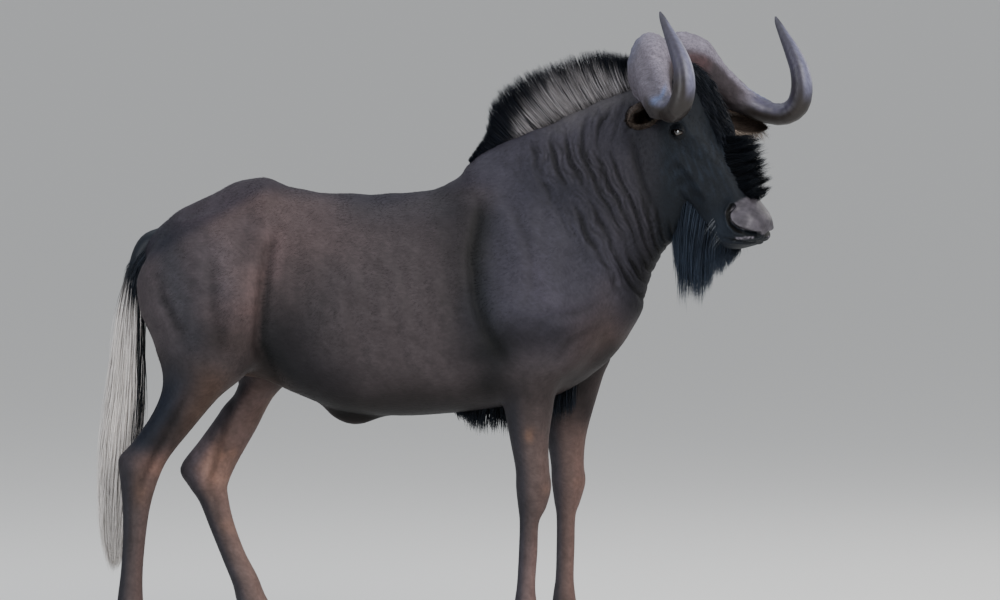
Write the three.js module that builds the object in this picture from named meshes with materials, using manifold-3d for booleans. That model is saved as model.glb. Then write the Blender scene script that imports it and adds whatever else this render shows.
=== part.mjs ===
// A black wildebeest bull standing square on the ground, head turned to its right.
// Millimetres. The animal faces +X, its left side is +Y, and +Z is up.
import * as THREE from "three";
import { mergeVertices } from "three/addons/utils/BufferGeometryUtils.js";
import Module from "manifold-3d";

const wasm = await Module();
wasm.setup();

// Driving dimensions of the whole animal
const GAP = 0.3;
const SHOULDER_HEIGHT = 1160;
const CHEST_HALF_WIDTH = 172;
const STANCE_FORE = 98;
const STANCE_HIND = 100;
const HEAD_YAW = THREE.MathUtils.degToRad(40);
const HEAD_PITCH = THREE.MathUtils.degToRad(57);
const EYE_AXIS = new THREE.Vector3(716, -114, 1207);
const EYE_RADIUS = 18;
const EYE_SPREAD = 73;
const EYE_OPENING = { length: 31, height: 18 };
const LID_THICKNESS = 3.5;
const EAR_LENGTH = 145;
const HOOF = { length: 92, width: 38, height: 46, parting: 4, splay: 0.05 };

// Colours of the coat, horn and eye
const COLOURS = {
  coat: 0x2b2524,
  legs: 0x3d2c25,
  black: 0x101114,
  white: 0xcfc7ba,
  horn: 0x7c7884,
  hoof: 0x2a2725,
  eye: 0x140d09,
  ear: 0x5a4a40,
};

const UP = new THREE.Vector3(0, 0, 1);
const LEFT = new THREE.Vector3(0, 1, 0);
const v = (x, y, z) => new THREE.Vector3(x, y, z);

// Seeded random numbers, so that every build is the same
function randomStream(seed) {
  let state = seed;
  return () => {
    state = (state * 1664525 + 1013904223) % 4294967296;
    return state / 4294967296;
  };
}

// A closed three.js geometry as a solid
function solidOf(geometry) {
  geometry.deleteAttribute("normal");
  geometry.deleteAttribute("uv");
  const merged = mergeVertices(geometry, 1e-3);
  return new wasm.Manifold(
    new wasm.Mesh({
      numProp: 3,
      vertProperties: new Float32Array(merged.attributes.position.array),
      triVerts: new Uint32Array(merged.index.array),
    }),
  );
}

// The largest closed surface of a solid, which drops loose scraps
function largest(solid) {
  const pieces = solid.decompose();
  return pieces.reduce((a, b) => (b.volume() > a.volume() ? b : a));
}

function unite(solids) {
  return solids.reduce((a, b) => a.add(b));
}

// One value of a smooth curve through four neighbouring values
function smoothValue(p0, p1, p2, p3, t) {
  const slope1 = (p2 - p0) / 2;
  const slope2 = (p3 - p1) / 2;
  const t2 = t * t;
  const t3 = t2 * t;
  return (
    (2 * t3 - 3 * t2 + 1) * p1 +
    (t3 - 2 * t2 + t) * slope1 +
    (-2 * t3 + 3 * t2) * p2 +
    (t3 - t2) * slope2
  );
}

// The key stations with extra ones between them, every number on a smooth curve
function refine(keys, between) {
  const rows = [];
  const last = keys.length - 1;
  for (let i = 0; i < last; i += 1) {
    const near = [Math.max(i - 1, 0), i, i + 1, Math.min(i + 2, last)];
    for (let step = 0; step <= between; step += 1) {
      const t = step / (between + 1);
      rows.push(
        keys[i].map((_, column) =>
          smoothValue(...near.map((k) => keys[k][column]), t),
        ),
      );
    }
  }
  rows.push(keys[last]);
  return rows;
}

// A closed skin over rings of equal length, with a fan over each end
function skinOver(rings) {
  const around = rings[0].length;
  const points = rings.flat();
  const index = [];
  for (let i = 0; i < rings.length - 1; i += 1) {
    for (let j = 0; j < around; j += 1) {
      const a = i * around + j;
      const b = i * around + ((j + 1) % around);
      index.push(a, b, b + around, a, b + around, a + around);
    }
  }
  const centre = (ring) =>
    ring.reduce((sum, p) => sum.add(p), v(0, 0, 0)).divideScalar(around);
  points.push(centre(rings[0]), centre(rings[rings.length - 1]));
  const start = points.length - 2;
  const end = points.length - 1;
  const lastRow = (rings.length - 1) * around;
  for (let j = 0; j < around; j += 1) {
    const next = (j + 1) % around;
    index.push(start, next, j);
    index.push(end, lastRow + j, lastRow + next);
  }
  const geometry = new THREE.BufferGeometry().setFromPoints(points);
  geometry.setIndex(index);
  const solid = solidOf(geometry);
  if (solid.volume() > 0) return solid;
  for (let i = 0; i < index.length; i += 3) {
    [index[i + 1], index[i + 2]] = [index[i + 2], index[i + 1]];
  }
  geometry.setIndex(index);
  return solidOf(geometry);
}

// One oval ring: a and b end its long axis, width is half its size along side.
// Power above 2 squares it, egg above 0 makes it broader at a.
function ovalRing(a, b, side, width, around, power = 2, egg = 0) {
  const middle = a.clone().add(b).multiplyScalar(0.5);
  const half = a.clone().sub(b).multiplyScalar(0.5);
  const bend = (x) => Math.sign(x) * Math.abs(x) ** (2 / power);
  return Array.from({ length: around }, (_, j) => {
    const angle = ((j + 0.5) / around) * 2 * Math.PI;
    const along = bend(Math.cos(angle));
    const across = bend(Math.sin(angle)) * (1 + egg * along);
    return middle
      .clone()
      .addScaledVector(half, along)
      .addScaledVector(side, across * width);
  });
}

// A body form from stations [ax, az, bx, bz, y, half width, egg, power], grown by a clearance
function bodyForm(keys, around, between, grow = 0, side = LEFT) {
  const rings = refine(keys, between).map((row) => {
    const [ax, az, bx, bz, y, width, egg, power] = row;
    const a = v(ax, y, az);
    const b = v(bx, y, bz);
    const out = a.clone().sub(b).normalize().multiplyScalar(grow);
    a.add(out);
    b.sub(out);
    return ovalRing(a, b, side, width + grow, around, power, egg);
  });
  const lead = rings[0][0].clone().sub(rings[1][0]).normalize();
  const trail = rings[rings.length - 1][0].clone();
  trail.sub(rings[rings.length - 2][0]).normalize();
  rings[0].forEach((p) => p.addScaledVector(lead, grow));
  rings[rings.length - 1].forEach((p) => p.addScaledVector(trail, grow));
  return skinOver(rings);
}

// A round-ended sweep along points, with half sizes [along up, across] at each
function sweep(points, sizes, up, around, between) {
  const keys = points.map((p, i) => [p.x, p.y, p.z, ...sizes[i]]);
  const rows = refine(keys, between);
  const rings = rows.map((row, i) => {
    const before = rows[Math.max(i - 1, 0)];
    const after = rows[Math.min(i + 1, rows.length - 1)];
    const path = v(after[0] - before[0], after[1] - before[1], after[2] - before[2]);
    path.normalize();
    const high = up.clone().addScaledVector(path, -up.dot(path)).normalize();
    const side = path.clone().cross(high);
    const centre = v(row[0], row[1], row[2]);
    const a = centre.clone().addScaledVector(high, row[3]);
    const b = centre.clone().addScaledVector(high, -row[3]);
    return ovalRing(a, b, side, row[4], around);
  });
  return skinOver(rings);
}

// A big block on one side of the plane through two points and along a direction
function halfSpace(from, to, along, outward, shift) {
  const line = to.clone().sub(from).normalize();
  const normal = line.clone().cross(along).normalize();
  if (normal.dot(outward) < 0) normal.negate();
  const size = 4000;
  const block = new THREE.BoxGeometry(size, size, size);
  const basis = new THREE.Matrix4().makeBasis(
    line,
    normal.clone().cross(line),
    normal,
  );
  basis.setPosition(
    from
      .clone()
      .add(to)
      .multiplyScalar(0.5)
      .addScaledVector(normal, size / 2 + shift),
  );
  block.applyMatrix4(basis);
  return solidOf(block);
}

// One flat lock: a tapered strip from root to tip that bends towards the sag direction
function lock({ root, tip, sag, flat, width, thickness }) {
  const rings = 3;
  const out = [];
  for (let i = 0; i < rings; i += 1) {
    const t = i / rings;
    const p = root.clone().lerp(tip, t).addScaledVector(sag, 4 * t * (1 - t));
    const path = tip.clone().sub(root).addScaledVector(sag, 4 * (1 - 2 * t));
    path.normalize();
    const broad = flat.clone().addScaledVector(path, -flat.dot(path)).normalize();
    const thin = path.clone().cross(broad);
    const swell = (1 - t ** 2.2) * (0.75 + 0.5 * t);
    const half = (width / 2) * swell;
    const deep = (thickness / 2) * swell;
    out.push([
      p.clone().addScaledVector(broad, half),
      p.clone().addScaledVector(thin, deep),
      p.clone().addScaledVector(broad, -half),
      p.clone().addScaledVector(thin, -deep),
    ]);
  }
  const fine = 0.4;
  out.push(
    [0, 1, 2, 3].map((k) =>
      tip.clone().add(v(Math.cos((k * Math.PI) / 2) * fine, Math.sin((k * Math.PI) / 2) * fine, 0)),
    ),
  );
  return skinOver(out);
}

// Trunk: x, top z, bottom z, half width and egg shape at each station along the back
const TRUNK = [
  [-548, 940, 860, 26, 0],
  [-530, 974, 770, 66, 0],
  [-490, 1010, 700, 100, -0.05],
  [-420, 1050, 662, 126, -0.08],
  [-340, 1088, 648, 142, -0.1],
  [-273, 1101, 634, 150, -0.12],
  [-193, 1074, 600, 160, -0.14],
  [-91, 1064, 562, CHEST_HALF_WIDTH, -0.16],
  [34, 1064, 553, CHEST_HALF_WIDTH + 4, -0.2],
  [136, 1082, 558, CHEST_HALF_WIDTH + 2, -0.25],
  [216, 1140, 566, CHEST_HALF_WIDTH - 6, -0.34],
  [307, SHOULDER_HEIGHT, 580, CHEST_HALF_WIDTH - 14, -0.4],
  [398, 1150, 602, 148, -0.32],
  [480, 1080, 655, 124, -0.15],
  [540, 980, 720, 90, 0],
  [574, 890, 800, 40, 0],
];

// Neck: crest x, z, throat x, z, sideways shift, half width
const NECK = [
  [193, 1118, 450, 660, 0, 132],
  [250, 1172, 566, 770, -3, 124],
  [318, 1203, 590, 827, -10, 113],
  [398, 1240, 614, 888, -22, 103],
  [477, 1274, 640, 936, -38, 97],
  [545, 1300, 672, 968, -55, 91],
  [590, 1322, 698, 1003, -69, 78],
  [622, 1310, 716, 1036, -82, 54],
  [650, 1280, 722, 1080, -90, 24],
];

// Right forelimb: rear x, z, front x, z, half width, distance from the middle
const FORE_RIGHT = [
  [290, 1040, 400, 1050, 34, 52],
  [240, 930, 452, 930, 56, 88],
  [228, 800, 490, 790, 70, STANCE_FORE + 4],
  [244, 700, 452, 690, 64, STANCE_FORE + 4],
  [260, 640, 397, 640, 54, STANCE_FORE + 2],
  [271, 570, 382, 570, 44, STANCE_FORE],
  [284, 500, 373, 500, 36, STANCE_FORE],
  [295, 440, 375, 440, 33, STANCE_FORE],
  [296, 398, 379, 398, 34, STANCE_FORE],
  [301, 352, 367, 352, 27, STANCE_FORE],
  [304, 318, 351, 318, 21, STANCE_FORE],
  [302, 250, 348, 250, 19, STANCE_FORE],
  [298, 180, 343, 180, 20, STANCE_FORE],
  [293, 142, 346, 142, 25, STANCE_FORE],
  [291, 112, 350, 118, 28, STANCE_FORE],
  [302, 80, 356, 92, 25, STANCE_FORE],
  [312, 46, 372, 60, 27, STANCE_FORE],
  [322, 18, 384, 32, 20, STANCE_FORE],
];

// Left forelimb, a short step in front of the right one
const FORE_LEFT = [
  [290, 1040, 400, 1050, 34, 52],
  [246, 930, 470, 930, 56, 88],
  [262, 800, 530, 790, 70, STANCE_FORE + 4],
  [310, 700, 520, 690, 64, STANCE_FORE + 4],
  [336, 640, 500, 640, 54, STANCE_FORE + 2],
  [352, 570, 478, 570, 44, STANCE_FORE],
  [366, 500, 460, 500, 36, STANCE_FORE],
  [376, 440, 455, 440, 33, STANCE_FORE],
  [378, 398, 459, 398, 34, STANCE_FORE],
  [384, 352, 447, 352, 27, STANCE_FORE],
  [389, 318, 436, 318, 21, STANCE_FORE],
  [389, 250, 434, 250, 19, STANCE_FORE],
  [387, 180, 432, 180, 20, STANCE_FORE],
  [382, 142, 435, 142, 25, STANCE_FORE],
  [380, 112, 439, 118, 28, STANCE_FORE],
  [391, 80, 445, 92, 25, STANCE_FORE],
  [401, 46, 461, 60, 27, STANCE_FORE],
  [411, 18, 473, 32, 20, STANCE_FORE],
];

// Right hind limb, from the croup to the pastern
const HIND_RIGHT = [
  [-470, 1000, -330, 1030, 30, 60],
  [-550, 900, -300, 960, 60, 84],
  [-556, 810, -262, 830, 74, STANCE_HIND - 2],
  [-520, 720, -272, 720, 72, STANCE_HIND],
  [-503, 640, -318, 650, 60, STANCE_HIND + 2],
  [-524, 572, -376, 600, 46, STANCE_HIND + 2],
  [-572, 502, -434, 532, 35, STANCE_HIND + 1],
  [-603, 466, -484, 470, 32, STANCE_HIND],
  [-601, 424, -508, 424, 28, STANCE_HIND],
  [-595, 360, -528, 360, 22, STANCE_HIND],
  [-594, 290, -539, 290, 19, STANCE_HIND],
  [-599, 210, -546, 210, 20, STANCE_HIND],
  [-606, 152, -546, 152, 24, STANCE_HIND],
  [-608, 120, -542, 126, 28, STANCE_HIND],
  [-596, 80, -532, 96, 25, STANCE_HIND],
  [-580, 46, -514, 62, 27, STANCE_HIND],
  [-566, 18, -502, 34, 20, STANCE_HIND],
];

// Left hind limb, set further forward under the belly with a leaning shank
const HIND_LEFT = [
  [-470, 1000, -330, 1030, 30, 60],
  [-545, 900, -290, 960, 60, 84],
  [-530, 810, -228, 830, 74, STANCE_HIND - 2],
  [-440, 720, -196, 720, 72, STANCE_HIND],
  [-340, 640, -206, 650, 58, STANCE_HIND + 2],
  [-376, 566, -258, 588, 45, STANCE_HIND + 2],
  [-424, 497, -296, 516, 35, STANCE_HIND + 1],
  [-472, 430, -338, 442, 32, STANCE_HIND],
  [-452, 386, -359, 394, 28, STANCE_HIND],
  [-428, 350, -360, 368, 22, STANCE_HIND],
  [-404, 290, -348, 310, 19, STANCE_HIND],
  [-376, 220, -323, 240, 20, STANCE_HIND],
  [-352, 160, -293, 182, 24, STANCE_HIND],
  [-342, 120, -277, 142, 28, STANCE_HIND],
  [-318, 80, -256, 104, 25, STANCE_HIND],
  [-296, 46, -234, 68, 27, STANCE_HIND],
  [-280, 18, -222, 36, 20, STANCE_HIND],
];

// The head's own directions: down the face, out of the forehead, and to its left
const FACE = v(
  Math.cos(HEAD_YAW) * Math.cos(HEAD_PITCH),
  -Math.sin(HEAD_YAW) * Math.cos(HEAD_PITCH),
  -Math.sin(HEAD_PITCH),
);
const BROW = v(
  Math.cos(HEAD_YAW) * Math.sin(HEAD_PITCH),
  -Math.sin(HEAD_YAW) * Math.sin(HEAD_PITCH),
  Math.cos(HEAD_PITCH),
);
const CHEEK = v(Math.sin(HEAD_YAW), Math.cos(HEAD_YAW), 0);
const FORWARD = v(Math.cos(HEAD_YAW), -Math.sin(HEAD_YAW), 0);

// A place on the head: distance down the face from the eyes, out of the brow, and to the left
function onHead(down, out, left) {
  return EYE_AXIS.clone()
    .addScaledVector(FACE, down)
    .addScaledVector(BROW, out)
    .addScaledVector(CHEEK, left);
}

// Head: down the face and out at the top line, the same at the underside, half width,
// broadness of the top, squareness
const HEAD = [
  [-178, 26, -178, -33, 34, 0, 2],
  [-166, 44, -166, -73, 56, 0, 2],
  [-140, 58, -140, -104, 73, 0, 2.1],
  [-110, 67, -110, -121, 82, 0.02, 2.15],
  [-76, 69, -76, -131, 88, 0.05, 2.2],
  [-32, 64, -32, -134, 93, 0.1, 2.3],
  [8, 58, 8, -129, 90, 0.12, 2.4],
  [58, 51, 58, -121, 76, 0.05, 2.4],
  [108, 47, 108, -110, 65, 0, 2.4],
  [158, 45, 158, -99, 58, 0, 2.4],
  [208, 46, 206, -91, 54, 0.05, 2.5],
  [243, 49, 238, -85, 54, 0.1, 2.7],
  [266, 46, 260, -77, 53, 0.12, 2.7],
  [281, 37, 277, -60, 47, 0.1, 2.5],
  [291, 23, 288, -36, 36, 0.05, 2.3],
  [295, 8, 293, -14, 18, 0, 2],
];

function headForm(grow, around = 18) {
  const rings = HEAD.map(([topDown, top, underDown, under, width, egg, power]) =>
    ovalRing(
      onHead(topDown, top + grow, 0),
      onHead(underDown, under - grow, 0),
      CHEEK,
      width + grow,
      around,
      power,
      egg,
    ),
  );
  rings[0].forEach((p) => p.addScaledVector(FACE, -grow));
  rings[rings.length - 1].forEach((p) => p.addScaledVector(FACE, grow));
  return skinOver(rings);
}

// A limb on one side of the middle: -1 is the right, 1 the left
function limbForm(rows, hand, grow) {
  const keys = rows.map(([rx, rz, fx, fz, width, out]) => [
    rx, rz, fx, fz, hand * out, width, 0, 2.1,
  ]);
  return bodyForm(keys, 12, 0, grow);
}

// Trunk, neck, head and limbs as one body
function flesh(grow) {
  const trunkKeys = TRUNK.map(([x, top, bottom, width, egg]) => [
    x, top, x, bottom, 0, width, egg, 2.2,
  ]);
  const neckKeys = NECK.map(([ax, az, bx, bz, y, width]) => [
    ax, az, bx, bz, y, width, -0.25, 2.1,
  ]);
  const sheath = sweep(
    [v(-150, 0, 610), v(-112, 0, 578), v(-70, 0, 556), v(-20, 0, 562), v(50, 0, 590)],
    [
      [8 + grow, 8 + grow],
      [24 + grow, 22 + grow],
      [22 + grow, 20 + grow],
      [14 + grow, 14 + grow],
      [4 + grow, 4 + grow],
    ],
    UP,
    10,
    1,
  );
  return {
    trunk: unite([bodyForm(trunkKeys, 20, 1, grow), sheath]),
    neck: bodyForm(neckKeys, 20, 1, grow),
    head: headForm(grow),
    limbs: {
      fore_right: limbForm(FORE_RIGHT, -1, grow),
      fore_left: limbForm(FORE_LEFT, 1, grow),
      hind_right: limbForm(HIND_RIGHT, -1, grow),
      hind_left: limbForm(HIND_LEFT, 1, grow),
    },
  };
}

// Planes that part the body: two points of the side view, a direction in the plane, and its far side
const CUTS = {
  head: { from: v(618, 0, 1400), to: v(690, 0, 1010), along: v(0.35, 0.94, 0), outward: v(1, 0, 0) },
  neck: { from: v(236, 0, 1170), to: v(575, 0, 770), along: LEFT, outward: v(1, 0, 1) },
  elbow: { from: v(200, 0, 590), to: v(520, 0, 590), along: LEFT, outward: v(0, 0, -1) },
  knee: { from: v(200, 0, 366), to: v(520, 0, 366), along: LEFT, outward: v(0, 0, -1) },
  flank: { from: v(-570, 0, 830), to: v(-190, 0, 650), along: LEFT, outward: v(0, 0, -1) },
  hock_right: { from: v(-620, 0, 440), to: v(-480, 0, 440), along: LEFT, outward: v(0, 0, -1) },
  coronet: {
    from: v(-620, 0, HOOF.height + GAP),
    to: v(520, 0, HOOF.height + GAP),
    along: LEFT,
    outward: v(0, 0, -1),
  },
  hock_left: { from: v(-490, 0, 392), to: v(-330, 0, 420), along: LEFT, outward: v(0, 0, -1) },
};

function side(cut, shift) {
  return halfSpace(cut.from, cut.to, cut.along, cut.outward, shift);
}

// What lies beyond a cut, and what stays before it, with the gap between them
function beyond(solid, cut) {
  return solid.intersect(side(cut, GAP / 2));
}
function before(solid, cut) {
  return solid.subtract(side(cut, -GAP / 2));
}

// Horn: forward, to the side and up from the middle of the poll, then half sizes
const POLL = v(654.5, -60, 0);
const HORN = [
  [-50, 15, 1336, 34, 16],
  [-42, 30, 1341, 68, 40],
  [-22, 56, 1345, 84, 52],
  [2, 82, 1342, 72, 50],
  [26, 103, 1328, 44, 42],
  [50, 122, 1303, 33, 33],
  [82, 147, 1272, 27, 28],
  [118, 174, 1250, 25, 25],
  [157, 199, 1243, 25, 25],
  [188, 211, 1262, 26, 26],
  [201, 213, 1300, 25, 25],
  [196, 212, 1345, 22, 22],
  [176, 211, 1388, 18, 18],
  [152, 210, 1428, 12, 12],
  [135, 209, 1457, 7, 7],
  [128, 209, 1472, 2, 2],
];

function hornForm(hand, grow) {
  const points = HORN.map(([forward, out, z]) =>
    POLL.clone()
      .addScaledVector(FORWARD, forward)
      .addScaledVector(CHEEK, hand * out)
      .setZ(z),
  );
  const sizes = HORN.map((row) => [row[4] + grow, row[3] + grow]);
  const across = CHEEK.clone().multiplyScalar(hand).addScaledVector(FORWARD, -0.58);
  return sweep(points, sizes, across, 10, 1);
}

// Hoof claw: a wall that slopes back from a flat sole to the coronet
function claw(x, y, turn) {
  const { length, width, height } = HOOF;
  const rows = [
    [0, 4, length, width * 0.95],
    [height * 0.26, 1, length * 0.93, width],
    [height * 0.62, 3, length * 0.81, width * 0.9],
    [height, 8, length * 0.68, width * 0.72],
  ];
  const rings = rows.map(([z, rear, front, wide]) =>
    ovalRing(v(rear, 0, z), v(front, 0, z), LEFT, wide / 2, 10, 2.3, 0.2),
  );
  rings.flat().forEach((p) => p.applyAxisAngle(UP, turn).add(v(x, y, 0)));
  return skinOver(rings);
}

// Ear: a leaf rolled into a cup, with its opening towards the mouth vector
function ear(root, tip, mouth) {
  const axis = tip.clone().sub(root);
  const open = mouth.clone().addScaledVector(axis, -mouth.dot(axis) / axis.lengthSq());
  open.normalize();
  const at = (t, lift) =>
    root.clone().addScaledVector(axis, t).addScaledVector(open, lift);
  const outer = sweep(
    [at(-0.16, 0), at(0.05, 0), at(0.3, 0), at(0.6, 0), at(0.85, 4), at(1, 8)],
    [
      [17, 17],
      [22, 21],
      [26, 31],
      [22, 30],
      [11, 16],
      [2, 2],
    ],
    open,
    10,
    1,
  );
  const inner = sweep(
    [at(0.14, 14), at(0.3, 12), at(0.6, 12), at(0.84, 10), at(1.02, 12)],
    [
      [4, 4],
      [24, 25],
      [21, 25],
      [11, 12],
      [4, 4],
    ],
    open,
    8,
    1,
  );
  return largest(outer.subtract(inner));
}

// Eyelids: a shell over the ball with an almond opening
function eyelids(hand) {
  const centre = onHead(0, 0, hand * EYE_SPREAD);
  const shell = new THREE.SphereGeometry(EYE_RADIUS + LID_THICKNESS, 14, 10);
  shell.translate(centre.x, centre.y, centre.z);
  const { length, height } = EYE_OPENING;
  const out = CHEEK.clone().multiplyScalar(hand);
  const slant = FACE.clone().addScaledVector(BROW, 1.2).normalize();
  const lift = slant.clone().cross(out).normalize();
  const rings = [0.5, 1, 2.2].map((depth) => {
    const middle = centre.clone().addScaledVector(out, depth * EYE_RADIUS);
    return ovalRing(
      middle.clone().addScaledVector(slant, (length / 2) * (0.8 + 0.2 * depth)),
      middle.clone().addScaledVector(slant, (-length / 2) * (0.8 + 0.2 * depth)),
      lift,
      (height / 2) * (0.8 + 0.2 * depth),
      14,
      1.7,
    );
  });
  return { shell: solidOf(shell), opening: skinOver(rings) };
}

function eyeBall(hand, grow) {
  const ball = new THREE.SphereGeometry(EYE_RADIUS + grow, 12, 9);
  const centre = onHead(0, 0, hand * EYE_SPREAD);
  ball.translate(centre.x, centre.y, centre.z);
  return solidOf(ball);
}

// The line of the mouth: a groove from corner to corner round the front of the muzzle
function mouthGroove() {
  const depth = 7;
  const line = [
    [212, -74],
    [235, -60],
    [258, -43],
    [277, -22],
    [290, -8],
    [318, 4],
  ];
  const open = 4;
  const rings = line.map(([down, out], i) => {
    const half = i === 0 ? 0.5 : open / 2;
    return [
      onHead(down, out + half, -90),
      onHead(down, out + half, 90),
      onHead(down, out - half, 90),
      onHead(down, out - half, -90),
    ];
  });
  return skinOver(rings).subtract(headForm(-depth, 10));
}

// Nostril: a crescent slit on the side of the muzzle
function nostril(hand) {
  const path = [
    [205, 18, 46],
    [213, 1, 53],
    [228, -8, 55],
    [249, -5, 54],
    [268, 6, 47],
    [282, 13, 34],
  ];
  return sweep(
    path.map(([down, out, left]) => onHead(down, out, hand * left)),
    [
      [2, 2],
      [7, 5],
      [7, 5],
      [6, 4],
      [5, 3],
      [2, 2],
    ],
    CHEEK,
    8,
    1,
  );
}

// The crest of the neck, where the mane stands, and the outer edge of the mane
const CREST = [
  [206, 1128],
  [261, 1172],
  [311, 1192],
  [380, 1226],
  [445, 1256],
  [525, 1286],
  [572, 1306],
];
const MANE_EDGE = [
  [192, 1138],
  [228, 1198],
  [246, 1272],
  [302, 1324],
  [384, 1360],
  [486, 1383],
  [556, 1366],
];

function curveThrough(points) {
  const curve = new THREE.CatmullRomCurve3(points);
  return (t) => curve.getPoint(THREE.MathUtils.clamp(t, 0, 1));
}

// How far the neck swings aside at a distance along the body
function neckSwing(x) {
  const row = NECK.findIndex(([crestX]) => crestX > x);
  if (row < 0) return NECK[NECK.length - 1][4];
  if (row === 0) return 0;
  const [x0, , , , y0] = NECK[row - 1];
  const [x1, , , , y1] = NECK[row];
  return y0 + ((x - x0) / (x1 - x0)) * (y1 - y0);
}

function overNeck(keys) {
  return keys.map(([x, z]) => v(x, neckSwing(x), z));
}

// A field of hair grows from one line of roots to one line of tips. Its core reaches a share
// of the way to the tips, and its locks the whole way.
const HAIR = {
  mane: {
    roots: overNeck(CREST),
    tips: overNeck(MANE_EDGE),
    across: LEFT,
    core: { reach: 0.5, half: 17, sink: 0.25 },
    locks: { count: 12, rows: [-1, 1], spread: 10, lean: 5, width: 54, thickness: 11, sag: v(-8, 0, 2) },
    seed: 11,
  },
  beard: {
    roots: [onHead(14, -97, 0), onHead(68, -89, 0), onHead(138, -75, 0), onHead(208, -67, 0), onHead(262, -61, 0)],
    tips: [v(664, -56, 920), v(672, -82, 832), v(702, -104, 803), v(746, -136, 868), v(794, -158, 932)],
    across: CHEEK,
    core: { reach: 0.5, half: 26, sink: 0.1 },
    locks: { count: 8, rows: [-1, 1], spread: 17, lean: 3, width: 46, thickness: 13, sag: v(-7, 4, 3) },
    seed: 23,
  },
  nose_brush: {
    roots: [onHead(12, 30, 0), onHead(60, 26, 0), onHead(105, 22, 0), onHead(150, 21, 0), onHead(192, 22, 0)],
    tips: [onHead(94, 144, 0), onHead(128, 137, 0), onHead(160, 123, 0), onHead(190, 107, 0), onHead(212, 76, 0)],
    across: CHEEK,
    core: { reach: 0.5, half: 24, sink: 0.1 },
    locks: { count: 7, rows: [-1, 0, 1], spread: 15, lean: 5, width: 44, thickness: 12, sag: v(3, 0, -4) },
    seed: 37,
  },
  chest_fringe: {
    roots: [v(160, 0, 596), v(220, 0, 604), v(300, 0, 616), v(380, 0, 636), v(440, 0, 656)],
    tips: [v(172, 0, 548), v(205, 0, 511), v(285, 0, 500), v(365, 0, 512), v(430, 0, 552)],
    across: LEFT,
    core: { reach: 0.6, half: 34, sink: 0.1 },
    locks: { count: 7, rows: [-1, 1], spread: 24, lean: -6, width: 56, thickness: 14, sag: v(-5, 0, -2) },
    seed: 47,
  },
};

// The core of a field of hair, or with a reach of 1 its plain form
function hairCore({ roots, tips, across, core }, reach) {
  const rootAt = curveThrough(roots);
  const tipAt = curveThrough(tips);
  const steps = 10;
  const rings = Array.from({ length: steps + 1 }, (_, i) => {
    const t = i / steps;
    const root = rootAt(t);
    const tip = tipAt(t);
    const half = core.half * (0.45 + 0.55 * Math.sin(Math.PI * t) ** 0.6);
    const low = root.clone().lerp(tip, -core.sink);
    const high = root.clone().lerp(tip, reach);
    return ovalRing(high, low, across, half, 8, 2, -0.35);
  });
  return skinOver(rings);
}

// The locks of a field of hair, in rows side by side, each shifted half a step from the next
function hairLocks({ roots, tips, across, locks, seed }) {
  const random = randomStream(seed);
  const rootAt = curveThrough(roots);
  const tipAt = curveThrough(tips);
  return locks.rows.flatMap((row, number) =>
    Array.from({ length: locks.count }, (_, i) => {
      const t = (i + 0.3 + 0.4 * (number % 2)) / locks.count;
      const tipT = t + (random() - 0.5) * (0.5 / locks.count);
      const start = rootAt(t);
      const end = tipAt(tipT);
      const flat = rootAt(t + 0.02).sub(rootAt(t - 0.02)).normalize();
      const reach = 0.86 + 0.16 * random();
      const tip = start.clone().lerp(end, reach);
      const lean = locks.lean * (1 + 0.6 * (random() - 0.5));
      start.addScaledVector(across, row * locks.spread * (0.8 + 0.4 * random()));
      tip.addScaledVector(across, row * (locks.spread + lean));
      return lock({
        root: start,
        tip,
        sag: locks.sag.clone().multiplyScalar(0.7 + 0.6 * random()),
        flat,
        width: locks.width * (0.85 + 0.3 * random()),
        thickness: locks.thickness,
      });
    }),
  );
}

// Tail: the dock hangs from the croup, x and z with its radius
const DOCK = [
  [-500, 960, 30],
  [-538, 945, 27],
  [-561, 900, 23],
  [-573, 830, 18],
  [-580, 750, 13],
  [-586, 690, 7],
];
// The outer surface of the long hair round the dock: x, z, half size along the body and across it
const TAIL_AXIS = [
  [-570, 898, 23, 25],
  [-580, 810, 29, 31],
  [-584, 700, 36, 37],
  [-590, 590, 42, 40],
  [-602, 490, 45, 40],
  [-610, 390, 43, 36],
  [-613, 300, 34, 28],
  [-616, 236, 18, 16],
  [-618, 196, 3, 3],
];
const TAIL_LOCKS = { tiers: 3, around: 4, length: 0.46, width: 52, thickness: 13, seed: 53 };

function tailSweep(rows, share, grow) {
  return sweep(
    rows.map(([x, z]) => v(x, 0, z)),
    rows.map(([, , along, across = along]) => [along * share + grow, across * share + grow]),
    v(1, 0, 0),
    10,
    0,
  );
}

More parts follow.
